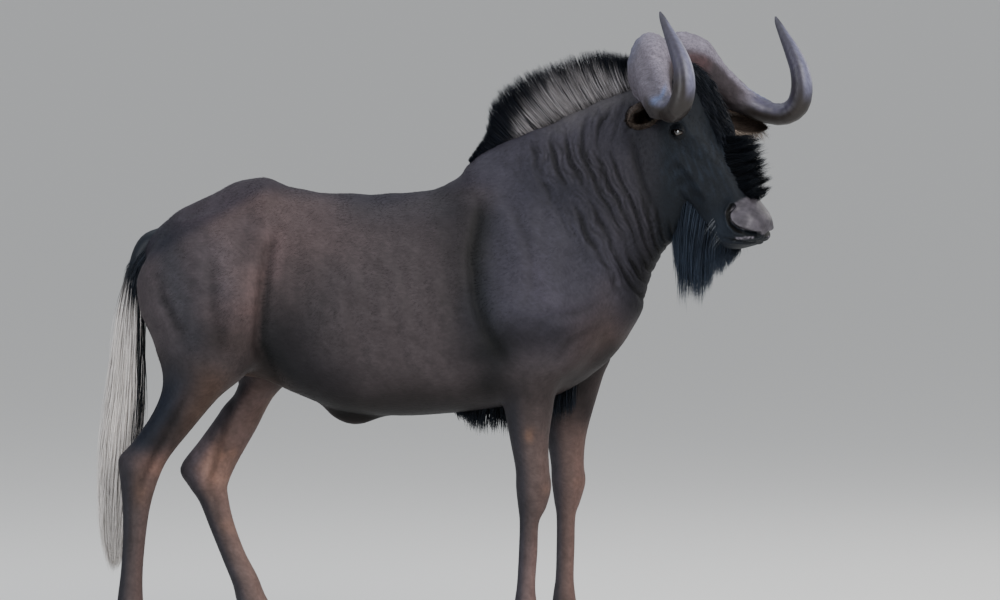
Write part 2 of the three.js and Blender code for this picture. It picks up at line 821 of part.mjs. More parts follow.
// Locks of the tail in tiers round its core, each tier hanging over the next
function tailLocks() {
  const { tiers, around, length, width, thickness, seed } = TAIL_LOCKS;
  const random = randomStream(seed);
  const rowAt = (t) => {
    const place = THREE.MathUtils.clamp(t, 0, 0.999) * (TAIL_AXIS.length - 1);
    const i = Math.floor(place);
    return TAIL_AXIS[i].map((value, k) => value + (TAIL_AXIS[i + 1][k] - value) * (place - i));
  };
  return Array.from({ length: tiers * around }, (_, n) => {
    const tier = Math.floor(n / around);
    const angle = ((n % around) + 0.5 * (tier % 2) + 0.3 * random()) * ((2 * Math.PI) / around);
    const start = 0.04 + (tier * (0.98 - length)) / tiers;
    const end = Math.min(start + length * (0.9 + 0.25 * random()), 1);
    const at = (t, share) => {
      const [x, z, along, across] = rowAt(t);
      return v(x + Math.cos(angle) * along * share, Math.sin(angle) * across * share, z);
    };
    return lock({
      root: at(start, 0.42),
      tip: at(end, 0.86),
      sag: at((start + end) / 2, 1.0)
        .sub(at(start, 0.42).lerp(at(end, 0.86), 0.5))
        .multiplyScalar(0.8),
      flat: v(-Math.sin(angle), Math.cos(angle), 0),
      width: width * (0.85 + 0.3 * random()),
      thickness,
    });
  });
}

// Assembly: every piece by name, with its colour
const nodes = [];
function addNode(name, solid, colour, roughness = 0.85) {
  nodes.push({ name, solid: largest(solid), colour, roughness });
}

const body = flesh(0);
const spare = flesh(GAP);
const spareFlesh = unite([spare.trunk, spare.neck, spare.head, ...Object.values(spare.limbs)]);
const bodyFlesh = unite([body.trunk, body.neck, ...Object.values(body.limbs)]);

// Head with lids, mouth and nostrils
const HANDS = [-1, 1];
const eyeRoom = unite(HANDS.map((hand) => eyeBall(hand, GAP)));
let headSolid = body.head;
HANDS.forEach((hand) => {
  const { shell, opening } = eyelids(hand);
  headSolid = headSolid.add(shell).subtract(opening).subtract(nostril(hand));
});
headSolid = headSolid.subtract(mouthGroove());
const whole = bodyFlesh.add(headSolid).subtract(eyeRoom);
addNode("head", beyond(whole, CUTS.head), COLOURS.black);
const headless = before(whole, CUTS.head);
addNode("neck", beyond(headless, CUTS.neck), COLOURS.coat);
let torso = before(headless, CUTS.neck);

// Eyes, horns and ears
HANDS.forEach((hand) => {
  addNode(hand < 0 ? "eye_right" : "eye_left", eyeBall(hand, 0), COLOURS.eye, 0.1);
});
const headRoom = spareFlesh.add(unite(HANDS.map((hand) => eyelids(hand).shell)));
const hornRoom = unite(HANDS.map((hand) => hornForm(hand, GAP)));
addNode("horn_right", hornForm(-1, 0).subtract(headRoom), COLOURS.horn, 0.5);
addNode(
  "horn_left",
  hornForm(1, 0).subtract(headRoom).subtract(hornForm(-1, GAP)),
  COLOURS.horn,
  0.5,
);
const EARS = [
  { name: "ear_right", root: onHead(-77, -40, -80), tip: onHead(-43, -18, -80 - EAR_LENGTH) },
  { name: "ear_left", root: onHead(-58, -38, 80), tip: onHead(12, 20, 80 + EAR_LENGTH * 0.88) },
];
EARS.forEach(({ name, root, tip }) => {
  const mouth = FACE.clone().multiplyScalar(0.5).addScaledVector(BROW, 0.9);
  addNode(name, ear(root, tip, mouth).subtract(headRoom).subtract(hornRoom), COLOURS.ear);
});

// Limbs below the elbow and the flank, each let into the trunk and parted at its knee or hock
const LIMBS = [
  { name: "fore_right", top: CUTS.elbow, joint: CUTS.knee, upper: "forearm_right" },
  { name: "fore_left", top: CUTS.elbow, joint: CUTS.knee, upper: "forearm_left" },
  { name: "hind_right", top: CUTS.flank, joint: CUTS.hock_right, upper: "thigh_right" },
  { name: "hind_left", top: CUTS.flank, joint: CUTS.hock_left, upper: "thigh_left" },
];
const FEET = {
  fore_right: { x: 304, y: -STANCE_FORE },
  fore_left: { x: 393, y: STANCE_FORE },
  hind_right: { x: -586, y: -STANCE_HIND },
  hind_left: { x: -304, y: STANCE_HIND },
};
const clawSpread = (HOOF.width + HOOF.parting) / 2;
LIMBS.forEach(({ name, top, joint, upper }) => {
  const limb = beyond(body.limbs[name], top);
  const room = spare.limbs[name].intersect(side(top, -GAP / 2));
  torso = torso.subtract(room);
  const { x, y } = FEET[name];
  addNode(upper, before(limb, joint), COLOURS.legs);
  addNode("cannon_" + name, before(beyond(limb, joint), CUTS.coronet), COLOURS.legs);
  HANDS.forEach((hand) => {
    const place = hand * y > 0 ? "outer" : "inner";
    const solid = claw(x, y + hand * clawSpread, hand * HOOF.splay);
    addNode("claw_" + name + "_" + place, solid, COLOURS.hoof, 0.6);
  });
});
addNode("torso", torso, COLOURS.coat);

// Hair, cut clear of the flesh and horns it grows by
Object.entries(HAIR).forEach(([name, field]) => {
  const solid = unite([hairCore(field, field.core.reach), ...hairLocks(field)]);
  addNode(name, solid.subtract(headRoom).subtract(hornRoom), COLOURS.black);
});
addNode("tail_dock", tailSweep(DOCK, 1, 0).subtract(spareFlesh), COLOURS.black);
const tailHair = unite([tailSweep(TAIL_AXIS, 0.62, 0), ...tailLocks()]);
addNode(
  "tail_hair",
  tailHair.subtract(spareFlesh).subtract(tailSweep(DOCK, 1, GAP)),
  COLOURS.white,
);

// A node's solid as a named mesh
function meshOf({ name, solid, colour, roughness }) {
  const { vertProperties, triVerts, numProp } = solid.getMesh();
  const count = vertProperties.length / numProp;
  const positions = new Float32Array(count * 3);
  for (let i = 0; i < count; i += 1) {
    positions.set(vertProperties.subarray(i * numProp, i * numProp + 3), i * 3);
  }
  const geometry = new THREE.BufferGeometry();
  geometry.setAttribute("position", new THREE.BufferAttribute(positions, 3));
  geometry.setIndex(new THREE.BufferAttribute(new Uint32Array(triVerts), 1));
  geometry.computeVertexNormals();
  const material = new THREE.MeshStandardMaterial({ color: colour, roughness, metalness: 0 });
  const mesh = new THREE.Mesh(geometry, material);
  mesh.name = name;
  return mesh;
}

// The whole animal, centred over the middle of its outline
const wildebeest = new THREE.Group();
nodes.forEach((node) => wildebeest.add(meshOf(node)));
const bounds = new THREE.Box3().setFromObject(wildebeest);
wildebeest.position.set(
  -(bounds.min.x + bounds.max.x) / 2,
  -(bounds.min.y + bounds.max.y) / 2,
  -bounds.min.z,
);

export default wildebeest;
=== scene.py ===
import bmesh
import bpy
import numpy as np
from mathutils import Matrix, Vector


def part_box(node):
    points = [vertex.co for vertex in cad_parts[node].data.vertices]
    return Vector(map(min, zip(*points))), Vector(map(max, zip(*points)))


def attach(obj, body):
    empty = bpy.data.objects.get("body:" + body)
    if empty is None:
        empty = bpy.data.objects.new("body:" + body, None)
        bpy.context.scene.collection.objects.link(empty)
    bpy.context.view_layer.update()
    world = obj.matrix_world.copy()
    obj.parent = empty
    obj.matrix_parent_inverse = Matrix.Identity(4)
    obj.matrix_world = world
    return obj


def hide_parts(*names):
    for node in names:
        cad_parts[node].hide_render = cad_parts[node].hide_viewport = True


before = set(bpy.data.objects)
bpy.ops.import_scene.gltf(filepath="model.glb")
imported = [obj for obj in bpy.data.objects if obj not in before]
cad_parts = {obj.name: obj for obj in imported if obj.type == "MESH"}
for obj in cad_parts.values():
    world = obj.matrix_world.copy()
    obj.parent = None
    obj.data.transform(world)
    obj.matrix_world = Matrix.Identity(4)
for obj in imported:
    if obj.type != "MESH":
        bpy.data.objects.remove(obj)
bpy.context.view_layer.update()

import openvdb
from mathutils import Vector

bl_info = {
    "name": "Black Wildebeest",
    "version": (1, 0, 0),
    "blender": (4, 5, 0),
    "location": "View3D > Sidebar > Wildebeest",
    "description": "A life-size still model of a black wildebeest bull with its coat, mane, beard and tail",
    "category": "Add Mesh",
}

MM = 0.001

# Sizes of the solids, in millimetres, repeated from the part's source
SHOULDER_HEIGHT = 1160
CHEST_HALF_WIDTH = 172
STANCE_FORE = 98
STANCE_HIND = 100
HEAD_YAW = np.radians(40)
HEAD_PITCH = np.radians(57)
EYE_AXIS = np.array([716.0, -114.0, 1207.0])
EYE_RADIUS = 18
EYE_SPREAD = 73
HOOF = {"length": 92, "width": 38, "height": 46, "parting": 4, "splay": 0.05}

# Trunk: x, top z, bottom z, half width and egg shape at each station along the back
TRUNK = [
    [-548, 940, 860, 26, 0], [-530, 974, 770, 66, 0], [-490, 1010, 700, 100, -0.05],
    [-420, 1050, 662, 126, -0.08], [-340, 1088, 648, 142, -0.1], [-273, 1101, 634, 150, -0.12],
    [-193, 1074, 600, 160, -0.14], [-91, 1064, 562, CHEST_HALF_WIDTH, -0.16],
    [34, 1064, 553, CHEST_HALF_WIDTH + 4, -0.2], [136, 1082, 558, CHEST_HALF_WIDTH + 2, -0.25],
    [216, 1140, 566, CHEST_HALF_WIDTH - 6, -0.34],
    [307, SHOULDER_HEIGHT, 580, CHEST_HALF_WIDTH - 14, -0.4], [398, 1150, 602, 148, -0.32],
    [480, 1080, 655, 124, -0.15], [540, 980, 720, 90, 0], [574, 890, 800, 40, 0],
]
# Neck: crest x, z, throat x, z, sideways shift, half width
NECK = [
    [193, 1118, 450, 660, 0, 132], [250, 1172, 566, 770, -3, 124], [318, 1203, 590, 827, -10, 113],
    [398, 1240, 614, 888, -22, 103], [477, 1274, 640, 936, -38, 97], [545, 1300, 672, 968, -55, 91],
    [590, 1322, 698, 1003, -69, 78], [622, 1310, 716, 1036, -82, 54], [650, 1280, 722, 1080, -90, 24],
]
# Limbs from the top down: rear x, z and front x, z of each
FORE_RIGHT = [
    [290, 1040, 400, 1050], [240, 930, 452, 930], [228, 800, 490, 790], [244, 700, 452, 690],
    [260, 640, 397, 640], [271, 570, 382, 570], [284, 500, 373, 500], [295, 440, 375, 440],
    [296, 398, 379, 398], [301, 352, 367, 352], [304, 318, 351, 318], [302, 250, 348, 250],
    [298, 180, 343, 180], [293, 142, 346, 142], [291, 112, 350, 118], [302, 80, 356, 92],
    [312, 46, 372, 60], [322, 18, 384, 32],
]
FORE_LEFT = [
    [290, 1040, 400, 1050], [246, 930, 470, 930], [262, 800, 530, 790], [310, 700, 520, 690],
    [336, 640, 500, 640], [352, 570, 478, 570], [366, 500, 460, 500], [376, 440, 455, 440],
    [378, 398, 459, 398], [384, 352, 447, 352], [389, 318, 436, 318], [389, 250, 434, 250],
    [387, 180, 432, 180], [382, 142, 435, 142], [380, 112, 439, 118], [391, 80, 445, 92],
    [401, 46, 461, 60], [411, 18, 473, 32],
]
HIND_RIGHT = [
    [-470, 1000, -330, 1030], [-550, 900, -300, 960], [-556, 810, -262, 830], [-520, 720, -272, 720],
    [-503, 640, -318, 650], [-524, 572, -376, 600], [-572, 502, -434, 532], [-603, 466, -484, 470],
    [-601, 424, -508, 424], [-595, 360, -528, 360], [-594, 290, -539, 290], [-599, 210, -546, 210],
    [-606, 152, -546, 152], [-608, 120, -542, 126], [-596, 80, -532, 96], [-580, 46, -514, 62],
    [-566, 18, -502, 34],
]
HIND_LEFT = [
    [-470, 1000, -330, 1030], [-545, 900, -290, 960], [-530, 810, -228, 830], [-440, 720, -196, 720],
    [-340, 640, -206, 650], [-376, 566, -258, 588], [-424, 497, -296, 516], [-472, 430, -338, 442],
    [-452, 386, -359, 394], [-428, 350, -360, 368], [-404, 290, -348, 310], [-376, 220, -323, 240],
    [-352, 160, -293, 182], [-342, 120, -277, 142], [-318, 80, -256, 104], [-296, 46, -234, 68],
    [-280, 18, -222, 36],
]
# Girths of a pair of limbs: half width of the right one, of the left one, and how much farther out
# than the stance it lies
FORE_GIRTH = [
    [34, 34, -46], [56, 56, -10], [70, 70, 4], [64, 64, 4], [54, 54, 2], [44, 44, 0], [36, 36, 0],
    [33, 33, 0], [34, 34, 0], [27, 27, 0], [21, 21, 0], [19, 19, 0], [20, 20, 0], [25, 25, 0],
    [28, 28, 0], [25, 25, 0], [27, 27, 0], [20, 20, 0],
]
HIND_GIRTH = [
    [30, 30, -40], [60, 60, -16], [74, 74, -2], [72, 72, 0], [60, 58, 2], [46, 45, 2], [35, 35, 1],
    [32, 32, 0], [28, 28, 0], [22, 22, 0], [19, 19, 0], [20, 20, 0], [24, 24, 0], [28, 28, 0],
    [25, 25, 0], [27, 27, 0], [20, 20, 0],
]
# Each limb: its rows, the girths, the side, -1 right and 1 left, the stance and x of its foot
LIMBS = {
    "fore_right": (FORE_RIGHT, FORE_GIRTH, -1, STANCE_FORE, 304),
    "fore_left": (FORE_LEFT, FORE_GIRTH, 1, STANCE_FORE, 393),
    "hind_right": (HIND_RIGHT, HIND_GIRTH, -1, STANCE_HIND, -586),
    "hind_left": (HIND_LEFT, HIND_GIRTH, 1, STANCE_HIND, -304),
}
# Head: down the face and out at the top line, the same at the underside, half width, egg shape, squareness
HEAD = [
    [-178, 26, -178, -33, 34, 0, 2], [-166, 44, -166, -73, 56, 0, 2],
    [-140, 58, -140, -104, 73, 0, 2.1], [-110, 67, -110, -121, 82, 0.02, 2.15],
    [-76, 69, -76, -131, 88, 0.05, 2.2], [-32, 64, -32, -134, 93, 0.1, 2.3],
    [8, 58, 8, -129, 90, 0.12, 2.4], [58, 51, 58, -121, 76, 0.05, 2.4],
    [108, 47, 108, -110, 65, 0, 2.4], [158, 45, 158, -99, 58, 0, 2.4],
    [208, 46, 206, -91, 54, 0.05, 2.5], [243, 49, 238, -85, 54, 0.1, 2.7],
    [266, 46, 260, -77, 53, 0.12, 2.7], [281, 37, 277, -60, 47, 0.1, 2.5],
    [291, 23, 288, -36, 36, 0.05, 2.3], [295, 8, 293, -14, 18, 0, 2],
]
# Horn: forward, to the side and up from the poll, half size in its own plane and across it
HORN = [
    [-50, 15, 1336, 34, 16], [-42, 30, 1341, 68, 40], [-22, 56, 1345, 84, 52], [2, 82, 1342, 72, 50],
    [26, 103, 1328, 44, 42], [50, 122, 1303, 33, 33], [82, 147, 1272, 27, 28], [118, 174, 1250, 25, 25],
    [157, 199, 1243, 25, 25], [188, 211, 1262, 26, 26], [201, 213, 1300, 25, 25],
    [196, 212, 1345, 22, 22], [176, 211, 1388, 18, 18], [152, 210, 1428, 12, 12],
    [135, 209, 1457, 7, 7], [128, 209, 1472, 2, 2],
]
# How much higher each horn lies than the table at the end of its boss, at its bend and at its tip
HORN_LIFT = {-1: (0, 14, 7), 1: (0, -1, -9)}
# Crest of the neck, where the mane stands, and the outer edge of the mane: x, z
CREST = [
    [206, 1128], [261, 1172], [311, 1192], [380, 1226], [445, 1256], [525, 1286], [572, 1306],
]
MANE_EDGE = [
    [192, 1138], [228, 1198], [246, 1272], [302, 1324], [384, 1360], [486, 1386], [560, 1376],
]
# Dock: x, z, radius; and the outer surface of the tail's long hair: x, z, half sizes
DOCK = [
    [-500, 960, 30], [-538, 945, 27], [-561, 900, 23], [-573, 830, 18], [-580, 750, 13], [-586, 690, 7],
]
TAIL_AXIS = [
    [-570, 898, 23, 25], [-580, 810, 29, 31], [-584, 700, 36, 37], [-590, 590, 42, 40],
    [-602, 490, 45, 40], [-610, 390, 43, 36], [-613, 300, 34, 28], [-616, 236, 18, 16],
    [-618, 196, 3, 3],
]

UP = np.array([0.0, 0.0, 1.0])
LEFT = np.array([0.0, 1.0, 0.0])
FORWARD = np.array([np.cos(HEAD_YAW), -np.sin(HEAD_YAW), 0.0])

# The head's own directions: down the face, out of the forehead, and to its left
FACE = FORWARD * np.cos(HEAD_PITCH) - UP * np.sin(HEAD_PITCH)
BROW = FORWARD * np.sin(HEAD_PITCH) + UP * np.cos(HEAD_PITCH)
CHEEK = np.array([np.sin(HEAD_YAW), np.cos(HEAD_YAW), 0.0])
HEAD_AXES = np.stack([FACE, BROW, CHEEK])
POLL = np.array([654.5, -60.0, 0.0])


def on_head(down, out, left):
    """A place on the head: distance down the face from the eyes, out of the brow, and to the left."""
    return EYE_AXIS + np.stack(np.broadcast_arrays(down, out, left), -1) @ HEAD_AXES


def in_head(points):
    """The three distances of on_head for given places, as columns."""
    return (points - EYE_AXIS) @ HEAD_AXES.T


def by_side(points):
    """The three distances on the head, and the same place with its mirror's on one half."""
    down, out, left = in_head(points).T
    return down, out, left, np.stack([down, out, np.abs(left)], 1)


def frame_shift():
    """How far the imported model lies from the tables, in metres, taken from the right eye."""
    low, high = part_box("eye_right")
    return np.array((low + high) / 2) - on_head(0, 0, -EYE_SPREAD) * MM


SHIFT = frame_shift()


def unit(vectors):
    """Vectors made one long."""
    return vectors / np.maximum(np.linalg.norm(vectors, axis=-1, keepdims=True), 1e-9)


def fade(value, start, end):
    """Smooth step from 0 at start to 1 at end."""
    t = np.clip((value - start) / (end - start), 0, 1)
    return t * t * (3 - 2 * t)


def bell(value, radius):
    """Bell curve: 1 where the value is 0 and about a third at the radius."""
    return np.exp(-((value / radius) ** 2))


def ripple(points, pitch, seed, count=9):
    """Soft noise between about -1 and 1: sine waves of about one pitch in random directions."""
    draw = np.random.default_rng(seed)
    ways = unit(draw.normal(size=(count, 3))) * draw.uniform(0.7, 1.4, (count, 1))
    phases = draw.uniform(0, 2 * np.pi, count)
    return np.sin(points @ ways.T * (2 * np.pi / pitch) + phases).sum(1) * 0.85 / np.sqrt(count)


def refine(rows, between):
    """A table's rows with more between them, each column a Catmull-Rom curve through its values."""
    rows = np.asarray(rows, float)
    spots = np.linspace(0, len(rows) - 1, (len(rows) - 1) * between + 1)
    return along_rows(rows, spots)


def along_rows(rows, spots):
    """Values of a table at places between its rows, by a Catmull-Rom curve through each column."""
    rows = np.asarray(rows, float)
    start = np.clip(np.floor(spots).astype(int), 0, len(rows) - 2)
    t = (np.asarray(spots) - start)[..., None]
    padded = np.concatenate([[2 * rows[0] - rows[1]], rows, [2 * rows[-1] - rows[-2]]])
    p0, p1, p2, p3 = (padded[start + step] for step in range(4))
    bend = 2 * p0 - 5 * p1 + 4 * p2 - p3 + t * (3 * (p1 - p2) + p3 - p0)
    return p1 + 0.5 * t * (p2 - p0 + t * bend)


# Surfaces of two parameters: rings of points, and the faces between them
def oval_rings(high, low, side, half_width, power, egg, around):
    """Squarish egg rings from a high to a low point: cosine and sine of the turn, each raised to
    2 / power, carry a point between the two and out to the side, wider towards the high point."""
    turn = (np.arange(around) + 0.5) / around * 2 * np.pi
    exponent = (2 / power)[:, None]
    along = np.sign(np.cos(turn)) * np.abs(np.cos(turn)) ** exponent
    across = np.sign(np.sin(turn)) * np.abs(np.sin(turn)) ** exponent * (1 + egg[:, None] * along)
    middle = (high + low) / 2
    return (
        middle[:, None]
        + (high - middle)[:, None] * along[..., None]
        + side * (across * half_width[:, None])[..., None]
    )


def side_loft(*columns, around=72, between=4):
    """Rings of a body form. Columns: x and z of its high line, x and z of its low line, y,
    half width, egg shape and squareness."""
    rows = np.stack(np.broadcast_arrays(*columns), 1)
    ax, az, bx, bz, y, width, egg, power = refine(rows, between).T
    high = np.stack([ax, y, az], 1)
    low = np.stack([bx, y, bz], 1)
    return oval_rings(high, low, LEFT, width, power, egg, around)


def sweep(path, sizes, up, around):
    """Ovals carried along a path: the turn's cosine reaches towards up and its sine to the side."""
    path, sizes = np.asarray(path, float), np.asarray(sizes, float)
    way = unit(np.gradient(path, axis=0))
    high = unit(up - way * (way @ up)[:, None])
    side = np.cross(way, high)
    turn = np.arange(around) / around * 2 * np.pi
    return (
        path[:, None]
        + high[:, None] * (sizes[:, :1] * np.cos(turn))[..., None]
        + side[:, None] * (sizes[:, 1:] * np.sin(turn))[..., None]
    )


def tube_quads(count, around):
    """Quads between rings, the numbers of a ring's points, and of the points after them."""
    row = np.arange(count - 1)[:, None] * around
    spot = np.arange(around)
    after = (spot + 1) % around
    quads = np.stack([row + spot, row + after, row + around + after, row + around + spot], -1)
    return quads.reshape(-1, 4), spot, after


def closed(rings):
    """Points, quads and triangles of a tube of rings closed by a fan at each end, facing outwards."""
    count, around = rings.shape[:2]
    quads, spot, after = tube_quads(count, around)
    last = (count - 1) * around
    pole = np.full(around, count * around)
    fans = [np.stack([pole, after, spot], 1), np.stack([pole + 1, last + spot, last + after], 1)]
    points = np.concatenate([rings.reshape(-1, 3), rings[[0, -1]].mean(1)])
    return points, *outward(points, quads, np.concatenate(fans))


def outward(points, quads, triangles):
    """The faces, turned round where the volume that they close is negative."""
    halves = np.concatenate([quads[:, [0, 1, 2]], quads[:, [0, 2, 3]], triangles])
    a, b, c = (points[halves[:, k]] for k in range(3))
    if (a * np.cross(b, c)).sum() < 0:
        return quads[:, ::-1], triangles[:, ::-1]
    return quads, triangles


def repeated(points, size, quads, triangles):
    """Points, quads and triangles of many copies of one form, whose points follow one another."""
    start = np.arange(len(points) // size)[:, None, None] * size
    quads = (start + quads).reshape(-1, 4)
    return points, *outward(points, quads, (start + triangles).reshape(-1, 3))


def joined(parts):
    """Several sets of points, quads and triangles as one."""
    offsets = np.cumsum([0] + [len(part[0]) for part in parts[:-1]])
    points = np.concatenate([part[0] for part in parts])
    quads = np.concatenate([part[1] + step for part, step in zip(parts, offsets)])
    triangles = np.concatenate([part[2] + step for part, step in zip(parts, offsets)])
    return points, quads, triangles


def set_tint(mesh, tint):
    """Stores a colour for each point as the mesh's attribute tint."""
    rgba = np.ones((len(mesh.vertices), 4), np.float32)
    rgba[:, : tint.shape[1]] = tint
    attribute = mesh.color_attributes.new(name="tint", type="FLOAT_COLOR", domain="POINT")
    attribute.data.foreach_set("color", rgba.ravel())


def read(items, key, size, kind):
    """A value of each item of a mesh's collection, as rows of one size."""
    flat = np.empty(len(items) * size, kind)
    items.foreach_get(key, flat)
    return flat.reshape(-1, size)


def new_piece(name, shape, material, slot, covers, tint, chart=None, smooth=True):
    """Puts points, quads and triangles into a mesh object of the frame, with a colour for each point
    and a map place for each point or face corner, and tells the frame what it rides on and replaces."""
    points, quads, triangles = shape
    mesh = bpy.data.meshes.new(name)
    corners = np.concatenate([quads.ravel(), triangles.ravel()]).astype(np.int32)
    starts = np.concatenate([np.arange(len(quads)) * 4, len(quads) * 4 + np.arange(len(triangles)) * 3])
    mesh.vertices.add(len(points))
    mesh.vertices.foreach_set("co", (points * MM + SHIFT).astype(np.float32).ravel())
    mesh.loops.add(len(corners))
    mesh.loops.foreach_set("vertex_index", corners)
    mesh.polygons.add(len(starts))
    mesh.polygons.foreach_set("loop_start", starts.astype(np.int32))
    mesh.update(calc_edges=True)
    mesh.polygons.foreach_set("use_smooth", np.full(len(starts), smooth))
    set_tint(mesh, tint)
    if chart is not None:
        layer = mesh.uv_layers.new(name="OFBake")
        layer.data.foreach_set("uv", chart[corners].astype(np.float32).ravel())
    mesh.materials.append(material)
    return place(bpy.data.objects.new(name, mesh), slot, covers)


def place(piece, slot, covers=()):
    """Links a finished piece, hangs it on the root body and hides the solids that it replaces; slot is not
    used.
    """
    bpy.context.scene.collection.objects.link(piece)
    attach(piece, "root")
    if covers:
        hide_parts(*covers)
    return piece


# Materials
WET_ROUGHNESS = 0.36


class Graph:
    """Shader nodes of a material or group. An input's value is a number, a triple or an output to link."""

    def __init__(self, tree):
        self.nodes, self.links = tree.nodes, tree.links

    def put(self, socket, value):
        """Gives an input its value, or links an output to it."""
        if isinstance(value, bpy.types.NodeSocket):
            self.links.new(value, socket)
        elif isinstance(value, (int, float)):
            socket.default_value = value
        else:
            socket.default_value = (*value, 1.0)[: len(socket.default_value)]

    def add(self, kind, output, values=(), **settings):
        """A new node with its settings and the values of its inputs; gives the named output."""
        node = self.nodes.new("ShaderNode" + kind)
        for key, value in settings.items():
            setattr(node, key, value)
        for key, value in dict(values).items():
            self.put(node.inputs[key], value)
        return node.outputs[output]

    def math(self, operation, first, second):
        """A Math node on two values."""
        return self.add("Math", 0, {0: first, 1: second}, operation=operation)

    def mixed(self, kind, factor, first, second):
        """A Mix node on two colours."""
        return self.add("Mix", 2, {0: factor, 6: first, 7: second}, data_type="RGBA", blend_type=kind)

    def spread(self, value, low, high, to_low=0.0, to_high=1.0):
        """A Map Range node: the value's low and high become the two others."""
        ends = {"Value": value, "From Min": low, "From Max": high, "To Min": to_low, "To Max": to_high}
        return self.add("MapRange", "Result", ends)

    def lit(self, colour, light):
        """A colour multiplied by a value."""
        grey = self.add("CombineColor", "Color", {"Red": light, "Green": light, "Blue": light})
        return self.mixed("MULTIPLY", 1.0, colour, grey)

    def tint(self):
        """The colour and the alpha of the points' tint."""
        colour = self.add("VertexColor", "Color", layer_name="tint")
        return colour, colour.node.outputs["Alpha"]

    def grain(self, scale):
        """The two sizes of noise of the group for hair and horn."""
        fine = self.add("Group", "Grain", node_tree=noise_group())
        self.put(fine.node.inputs["Scale"], scale)
        return fine, fine.node.outputs["Mottle"]

    def bump(self, shader, height, strength):
        """Makes a height the relief of a shader."""
        values = {"Strength": strength, "Distance": 0.002, "Height": height}
        self.put(shader.inputs["Normal"], self.add("Bump", "Normal", values))


def noise_group():
    """Shader group: two sizes of noise on Object coordinates, as a mask and as a height."""
    name = "HairGrain"
    if name in bpy.data.node_groups:
        return bpy.data.node_groups[name]
    group = bpy.data.node_groups.new(name, "ShaderNodeTree")
    for label, default in (("Scale", 60.0), ("Stretch", 6.0)):
        socket = group.interface.new_socket(label, in_out="INPUT", socket_type="NodeSocketFloat")
        socket.default_value = default
    for label in ("Grain", "Mottle"):
        group.interface.new_socket(label, in_out="OUTPUT", socket_type="NodeSocketFloat")
    graph = Graph(group)
    inlet = graph.nodes.new("NodeGroupInput").outputs
    outlet = graph.nodes.new("NodeGroupOutput").inputs
    place = graph.add("TexCoord", "Object")
    squeezed = graph.add("Mapping", "Vector", {"Vector": place, "Scale": (0.25, 1.0, 0.35)})
    scale = graph.math("MULTIPLY", inlet["Scale"], inlet["Stretch"])
    fine = graph.add("TexNoise", "Fac", {"Vector": squeezed, "Scale": scale, "Detail": 4.0})
    broad = graph.add("TexNoise", "Fac", {"Vector": place, "Scale": 14.0, "Detail": 3.0})
    graph.put(outlet["Grain"], fine)
    graph.put(outlet["Mottle"], broad)
    return group


def new_material(name, roughness, coat=0.0, specular=0.5):
    """A material with a Principled shader, whose constant values are set on its own sockets, its
    shader and its graph."""
    material = bpy.data.materials.new(name)
    material.use_nodes = True
    shader = material.node_tree.nodes["Principled BSDF"]
    shader.inputs["Roughness"].default_value = roughness
    shader.inputs["Coat Weight"].default_value = coat
    shader.inputs["Coat Roughness"].default_value = 0.05
    shader.inputs["Specular IOR Level"].default_value = specular
    return material, shader, Graph(material.node_tree)


def hair_material(name, roughness, specular, grain_scale, contrast, bump=0.0, bare=False):
    """Tint attribute of the points, darker and lighter by hair grain, and the grain as a bump.
    With bare, the surface is smooth and wet where the tint's alpha is low."""
    material, shader, graph = new_material(name, roughness, specular=specular)
    tint, hairy = graph.tint()
    fine, broad = graph.grain(grain_scale)
    light = graph.spread(fine, 0.3, 0.7, 1 - contrast, 1 + contrast)
    mottle = graph.spread(broad, 0.35, 0.65, 1 - contrast / 2, 1 + contrast / 2)
    graph.put(shader.inputs["Base Color"], graph.lit(tint, graph.math("MULTIPLY", light, mottle)))
    if bare:
        graph.put(shader.inputs["Roughness"], graph.spread(hairy, 0.0, 1.0, WET_ROUGHNESS, roughness))
    if bump:
        graph.bump(shader, fine, bump)
    return material


# Skin: the trunk, neck, head and limbs as one surface
VOXEL = 4.2
BAND = 9
BLEND = 26
BODY_LOW = np.array([-660.0, -345.0, 5.0])
BODY_HIGH = np.array([920.0, 195.0, 1395.0])
SHEATH_PATH = [[-150, 0, 610], [-112, 0, 578], [-70, 0, 556], [-20, 0, 562], [50, 0, 590]]
SHEATH_SIZES = [[8, 8], [24, 22], [22, 20], [14, 14], [4, 4]]


def limb_rings(rows, girths, hand, stance):
    """A limb's rings on its side of the middle."""
    *widths, out = np.array(girths, float).T
    return side_loft(*np.array(rows, float).T, hand * (stance + out), widths[hand > 0], 0.0, 2.1)


def head_rings(around=96, between=5):
    """The head's rings from the poll to the nose."""
    top_down, top, under_down, under, width, egg, power = refine(HEAD, between).T
    high = on_head(top_down, top, 0)
    low = on_head(under_down, under, 0)
    return oval_rings(high, low, CHEEK, width, power, egg, around)


